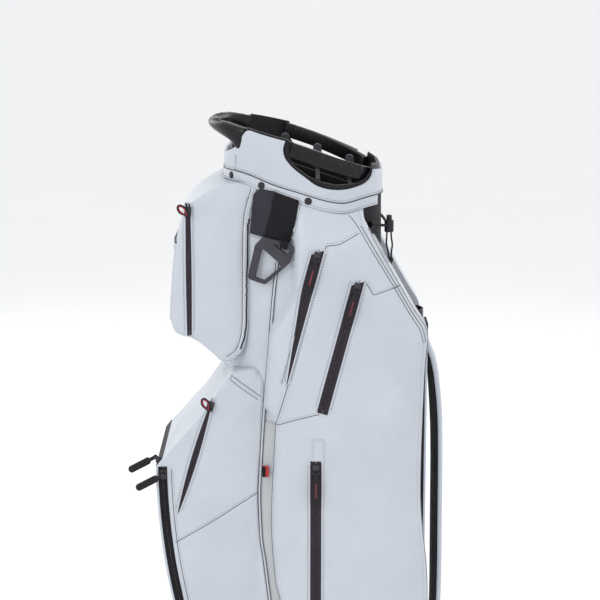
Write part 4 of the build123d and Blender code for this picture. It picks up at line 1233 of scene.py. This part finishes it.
def front_zip():
    """The ball pocket's zip across its front slope."""
    out, across, way = np.array((-0.8, 0, 0.6)), np.array((-0.6, 0, -0.8)), np.array((0, 1.0, 0))

    def spot(y):
        return np.array((FRONT_ZIP_X, y, FRONT_ZIP_Z))

    path = [spot(y) + 0.55 * out for y in np.linspace(-101, 101, 40)]
    for label, first, last, nodes in (("upper", -7, -0.4, ["zip_front_tape"]), ("lower", 0.4, 7, [])):
        swept(f"zip_front_{label}_tape", path, [out] * 40, box_section(first, last, -0.6, 0.55, 0.35, 2),
              ZIP_TAPE, "zip_tape", *nodes)
    coil("zip_front_coil", [(spot(-98 + TOOTH_PITCH * k) + stagger(k) * across, way, across, out, TOOTH_HALF)
                            for k in range(86)])


def long_pull(name, run, face, side):
    """Raised rim, red centre line and eyelet on a moulded pull."""
    origin, way, across, out, _ = zip_frame(*run, face, side)
    body = f"{name}_pull"
    near_end, far_end, half = PIN_DOWN + 9, PIN_DOWN + 46.0 - 3.4, 4.2

    def spot(u, a):
        return origin + u * way + a * across + (PIN_OUT + 1.6) * out

    loop = [(middle + half * cos(a), half * sin(a))
            for middle, start in ((near_end + half, 90), (far_end - half, -90))
            for a in [radians(start + 180 * k / 24) for k in range(25)]]
    rim = [spot(u, a) for u, a in along(loop + loop[:1], 1.5)[:-1]]
    line = [spot(u, 0) for u in np.linspace(near_end + 5, far_end - 8, 12)]
    eye = [spot(far_end - 4.4 + 1.6 * cos(t), 1.6 * sin(t)) for t in np.linspace(0, 2 * pi, 21)[:-1]]
    for label, path, section, finish, closed in (("rim", rim, round_section(0.75, 8, -0.1), PULL, True),
                                                 ("line", line, welt_section(2.2, 0.45), PULL_RED, False),
                                                 ("eyelet", eye, round_section(0.45, 6, 0.0), PULL, True)):
        swept(f"{name}_{label}", path, [out] * len(path), section, finish, "pull_rubber", body=body, closed=closed)


def loop_pull(name, run, face, side):
    """Moulded loop, black outside and red inside, hung on the slider's pin."""
    origin, way, across, out, _ = zip_frame(*run, face, side)
    pivot = origin + PIN_DOWN * way + PIN_OUT * out
    lean, wide = -0.72 * way - 0.69 * across, 0.69 * way - 0.72 * across
    for label, swell, radius, finish, slot in (("red", 0.0, 1.15, LOOP_RED, "loop_red"),
                                               ("black", 1.5, 1.35, PULL, "pull_rubber")):
        points = []
        for k in range(40):
            t = 2 * pi * k / 40
            u = 9.5 - (8.0 + swell) * cos(t)
            a = (3.6 + swell) * sin(t) * (0.35 + 0.65 * min(1.0, max(0.0, u / 10)))
            points.append(pivot + u * lean + a * wide + 0.2 * sin(t / 2) * out)
        nodes = [f"{name}_pull"] if label == "red" else []
        swept(f"{name}_{label}_loop", points, [out] * 40, round_section(radius, 8), finish, slot, *nodes,
              body=f"{name}_pull", closed=True)


PANEL_ZIPS = (("zip_front_panel", ZIP_FRONT_PANEL, NEAR, {"slant": 11, "wedge": 60}),
              ("zip_mid_panel", ZIP_MID_PANEL, NEAR, {"slant": 11}),
              ("zip_lower_panel", ZIP_LOWER_PANEL, NEAR, {}),
              ("zip_far_panel", ZIP_FAR_PANEL, FAR, {}))
straight_zip("zip_upper", ZIP_UPPER, UPPER_FACE, NEAR, 8.6, taper=0.2)
straight_zip("zip_slash", ZIP_SLASH, BALL_FACE, NEAR, 9.6, taper=0.8)
for zip_name, zip_run, zip_side, zip_shape in PANEL_ZIPS:
    straight_zip(zip_name, zip_run, SIDE_FACE, zip_side, 16.0, **zip_shape)
curved_zip()
front_zip()
for zip_name, zip_run, zip_side, _ in PANEL_ZIPS:
    long_pull(zip_name, zip_run, SIDE_FACE, zip_side)
    dress(f"{zip_name}_pull", PULL, 0.6)
loop_pull("zip_upper", ZIP_UPPER, UPPER_FACE, NEAR)
loop_pull("zip_slash", ZIP_SLASH, BALL_FACE, NEAR)


# ---------------------------------------------------------------- towel strap
def towel_strap():
    """Two fabric panels over the pocket's corner, ending in a hem round the ring's bar."""
    def level(extra):
        def grow(s, z):
            x = round_plan(s)[0]
            pocket = side_face(x, z) - HALF_Y if x > -36 else 0.0
            return max(1.2, pocket) + extra
        return grow

    panels = (("grey", HANG_GREY, [(-63, 824), (-41.6, 821), (-48, 790), (-57, 757), (-77, 760), (-72, 815)], 0.9),
              ("black", WEBBING, [(-42.6, 821), (-9.5, 809), (-14, 785), (-22, 751), (-58, 756), (-49, 790)], 1.5))
    thread = Stitches()
    for label, material, corners, extra in panels:
        loop = rounded([(s_at(x), z) for x, z in corners], 2.5, 4, closed=True)
        piece = wrapped(f"towel_strap_{label}", loop, level(extra), material, thickness=1.3, step=5, wave=0.5)
        bevelled(piece, 0.4, 2)
        belongs(piece, "anchor_webbing", *(["towel_strap"] if label == "black" else []))
        ring = [(s, z) for s, z in offset_path(loop + loop[:2], 2.4)[1:-1]]
        points = [round_plan(s, level(extra)(s, z) + 0.05)[:2] + (z,) for s, z in ring]
        thread.close(points, [round_plan(s)[2:] + (0,) for s, z in ring], length=2.5)
    thread.make("towel_strap_stitches", DARK_THREAD, "anchor_webbing")

    origin = np.array((-40, -121.5, 753.0))
    right, high, out = np.array((0.951, -0.309, 0)), np.array((0, 0, 1.0)), np.array((-0.309, -0.951, 0))
    bar_start, bar_end = (origin + u * right + v * high for u, v in ((-18, 1.2), (20, -6.4)))
    way = (bar_end - bar_start) / np.linalg.norm(bar_end - bar_start)
    turns = [radians(12 + 336 * k / 26) for k in range(27)]
    tube = [(r * cos(t), r * sin(t)) for r, row in ((6.5, turns), (5.4, turns[::-1])) for t in row]
    path = [bar_start + way * d for d in np.linspace(24.5, 34.0, 5)]
    swept("towel_hem", path, [-out] * 5, tube, WEBBING, "anchor_webbing")
    tongue = [origin + 11 * right + h * high + d * out for h, d in ((-2, -6.6), (2, -5.9), (6, -4.4), (10, -2.0))]
    swept("towel_neck", tongue, [out] * 4, box_section(-4.5, 4.5, -0.8, 0.8, 0.4), WEBBING, "anchor_webbing")


towel_strap()
dress("towel_ring", RING_GREY, 1.0, 3)


# ---------------------------------------------------------------- small sewn pieces
def side_tab():
    """Woven red flag with a black sleeve on its front half."""
    dress("side_tab", TAB_RED, 0.4)
    path = [(-59.8, -115.4, z) for z in np.linspace(413.5, 428.5, 6)]
    swept("side_tab_sleeve", path, [(0, -1, 0)] * 6, box_section(-2.4, 2.4, -1.4, 2.1, 0.5), WEBBING, "tab_red")


def zip_patch():
    """Stitched leather reinforcement over the top of the long side zip."""
    swept("zip_patch", *laid(near_land, [(17, 442), (17, 476)], NEAR, 4), box_section(-9.5, 9.5, -0.8, 0.9, 0.6),
          LEATHER)
    thread = Stitches()
    spots, ups = laid(near_land, [(9.5, 444), (9.5, 474), (24.5, 474), (24.5, 444)], NEAR)
    thread.row(np.array(spots) + 0.95 * np.array(ups), ups, pitch=3.8, length=2.6, width=0.7, height=0.35)
    thread.make("zip_patch_stitches")


side_tab()
zip_patch()


# ---------------------------------------------------------------- shoulder strap and back
STRAP = [(176, 590), (186, 560), (192.5, 520), (197, 460), (198.5, 344), (198.5, 200), (193, 140), (178, 109)]


def shoulder_strap():
    path = [(x, 0, z) for x, z in curve(STRAP, 6)]
    ups = []
    for x, _, z in np.gradient(np.array(path), axis=0):
        turn = (1 if z < 0 else -1) / hypot(x, z)
        ups.append((-z * turn, 0, x * turn))
    section = [(-31, -5.2), (-31, -0.6), (-30, 0.2), (-27.5, 0.5), (-26.2, -0.1), (-24.5, 0.9), (-18, 2.4),
               (-9, 3.1), (0, 3.3), (9, 3.1), (18, 2.4), (24.5, 0.9), (26.2, -0.1), (27.5, 0.5), (30, 0.2),
               (31, -0.6), (31, -5.2), (29.4, -5.2), (29.4, -2.4), (0, -2.5), (-29.4, -2.4), (-29.4, -5.2)]
    sections = []
    for k in range(len(path)):
        puff = ease(0, 5, k) * ease(0, 5, len(path) - 1 - k)
        sections.append([(a, u if u <= 0.5 else 0.5 + (u - 0.5) * puff) for a, u in section])
    cover = swept("strap_cover_pad", path, ups, sections, LEATHER, "shell_leather", "strap_cover")
    thread = Stitches()
    for across in (-28.6, 28.6):
        thread.row([(x + 0.55 * u[0], across, z + 0.55 * u[2]) for (x, _, z), u in zip(path, ups)], ups)
    thread.make("strap_stitches")
    dress("strap_lining", SPACER, 1.4, 3)
    dress("strap_anchors", WEBBING, 0.6)
    for name, z in (("upper", 604), ("lower", 96)):
        corners = [(176.1, y, z + dz) for y, dz in ((-18, -7.5), (18, -7.5), (18, 7.5), (-18, 7.5))]
        thread = Stitches()
        for path in (corners + corners[:1], [corners[0], corners[2]]):
            run = along(path, 3)
            thread.close(run, [BACKWARD] * len(run))
        thread.make(f"strap_anchor_{name}_stitches", DARK_THREAD, "anchor_webbing")


def back_cover():
    dress("back_panel", LEATHER, 1.0, 3)
    outline = rounded([(172.6, -59, 90), (172.6, 59, 90), (172.6, 59, 610), (172.6, -59, 610)], 10, 4, closed=True)
    thread = Stitches()
    thread.row(outline + outline[:1], [BACKWARD] * (len(outline) + 1))
    thread.make("back_panel_stitches")
    for side, label in SIDES:
        run = [(172.5, side * 52, z) for z in np.linspace(92, 608, 60)]
        swept(f"back_panel_seam_{label}", run, [BACKWARD] * 60, round_section(0.7, 8, 0.1))


shoulder_strap()
back_cover()


# ---------------------------------------------------------------- base
def base():
    dress("base_sole", RUBBER, 0.8)
    dress("base_screws", STEEL, 0.4)
    dress("base_cup", MOULDED, 1.5, 3)
    for k, z in enumerate((13.5, 90.0)):
        rim = on_round([(s, z) for s in np.linspace(0, WHOLE, 150)[:-1]], 3.1)
        swept(f"base_bead_{k}", *rim, welt_section(4.0, 1.4), MOULDED, "moulded_black", closed=True)
    # tread blocks round the foot of the sole
    points, faces = [], []
    for s in np.linspace(0, WHOLE, 61)[:-1]:
        x, y, nx, ny = round_plan(s, 2.6)
        out, onward = np.array((nx, ny, 0)), np.array((-ny, nx, 0))
        start = len(points)
        points += [tuple(np.array((x, y, z)) + a * onward + d * out)
                   for z in (3.5, 8.0) for a, d in ((-4.5, -1.5), (4.5, -1.5), (4.0, 1.3), (-4.0, 1.3))]
        faces += [[start, start + 3, start + 2, start + 1], [start + 4, start + 5, start + 6, start + 7]]
        faces += tube_faces(2, 4, start)
    tread = bevelled(mesh_object("sole_tread", points, faces, RUBBER, smooth=False), 0.5, 2)
    belongs(tread, "sole_rubber")


base()


# ---------------------------------------------------------------- top: ring, dividers, tubes
for top_name, finish, bevel_width, bevel_steps in (
        ("top_ring", RING, 0.9, 3), ("divider_caps", CAP_BLACK, 1.2, 3), ("divider_lugs", LUG, 0.8, 2),
        ("divider_panels", LINER, 0.3, 2), ("club_tube", LINER, 0.4, 2), ("umbrella_tube", MOULDED, 0.5, 2)):
    dress(top_name, finish, bevel_width, bevel_steps)


# ---------------------------------------------------------------- umbrella cord and lock
CORD_ROUTE = [(93, -83, 769), (106, -74, 767), (117, -60, 764), (114.5, -29, 762), (114, 8, 761),
              (109, 48, 763), (99, 76, 766)]
LOCK_X, LOCK_Y, TAIL_TOP, KNOT_Z = 116.3, -61.3, 755.5, 716.0


def cord_curve(name, route, diameter):
    data = bpy.data.curves.new(name, "CURVE")
    data.dimensions = "3D"
    data.bevel_depth = diameter / 2 * MM
    data.bevel_resolution = 5
    data.use_fill_caps = True
    spline = data.splines.new("NURBS")
    spline.points.add(len(route) - 1)
    for point, place in zip(spline.points, route):
        point.co = (*(v * MM for v in place), 1)
    spline.order_u = 3
    spline.use_endpoint_u = True
    spline.resolution_u = 24
    made = bpy.data.objects.new(name, data)
    bpy.context.scene.collection.objects.link(made)
    data.materials.append(ELASTIC)
    return made


def cords():
    dress("cord_knot", ELASTIC, 0.3)
    loop = belongs(cord_curve("umbrella_cord_loop", CORD_ROUTE, 4.0), "elastic_cord", "umbrella_cord")
    for sign, label in ((-1, "left"), (1, "right")):
        route = [(LOCK_X + sign * 3, LOCK_Y, TAIL_TOP), (LOCK_X + sign * 3, LOCK_Y, TAIL_TOP - 8),
                 (LOCK_X + sign * 4.6 + 0.7, LOCK_Y, TAIL_TOP - 18), (LOCK_X + sign * 2 + 1.5, LOCK_Y, KNOT_Z + 11),
                 (LOCK_X + sign * 2 + 1.5, LOCK_Y, KNOT_Z + 4)]
        tail = belongs(cord_curve(f"cord_tail_{label}", route, 2.4), "elastic_cord",
                       *(["cord_tails"] if sign < 0 else []))
        [v * MM for v in route[0]]
    dress("cord_lock", LOCK, 0.3)
    dress("cord_lock_button", LOCK, 0.3)
    dress("cord_anchors", MOULDED, 0.5)


cords()


# ---------------------------------------------------------------- sliders and pulls
for zip_name in ("upper", "slash", "front_panel", "mid_panel", "lower_panel", "far_panel", "side", "front"):
    dress(f"zip_{zip_name}_slider", SLIDER, 0.45, 3)


def twin_pull(name, pivot):
    """Grip ridges on the hanging tabs of the ball pocket."""
    dress(f"{name}_pull", PULL, 0.7, 3)
    turn = radians(28)
    way, across = np.array((-cos(turn), 0, -sin(turn))), np.array((sin(turn), 0, -cos(turn)))
    for side, label in ((NEAR, "n"), (FAR, "f")):
        out = np.array((0, side, 0.0))
        for k in range(7):
            spot = np.array(pivot, float) + (14 + 3.6 * k) * way + 1.6 * out
            path = [spot + a * across for a in (-3.4, -1.7, 0, 1.7, 3.4)]
            swept(f"{name}_ridge_{label}_{k}", path, [out] * 5, welt_section(1.5, 0.6), PULL, "pull_rubber",
                  body=f"{name}_pull")


twin_pull("zip_side", (-202.88, -112.6, 415.0))
twin_pull("zip_front", (-214.9, -90, 434.8))


# ---------------------------------------------------------------- floor and view transform
def floor():
    mesh = bpy.data.meshes.new("floor")
    mesh.from_pydata([(-30, -30, 0), (30, -30, 0), (30, 30, 0), (-30, 30, 0)], [], [[0, 1, 2, 3]])
    mesh.materials.append(FLOOR)
    ground = bpy.data.objects.new("floor", mesh)
    bpy.context.scene.collection.objects.link(ground)


floor()
bpy.context.scene.view_settings.view_transform = "Standard"
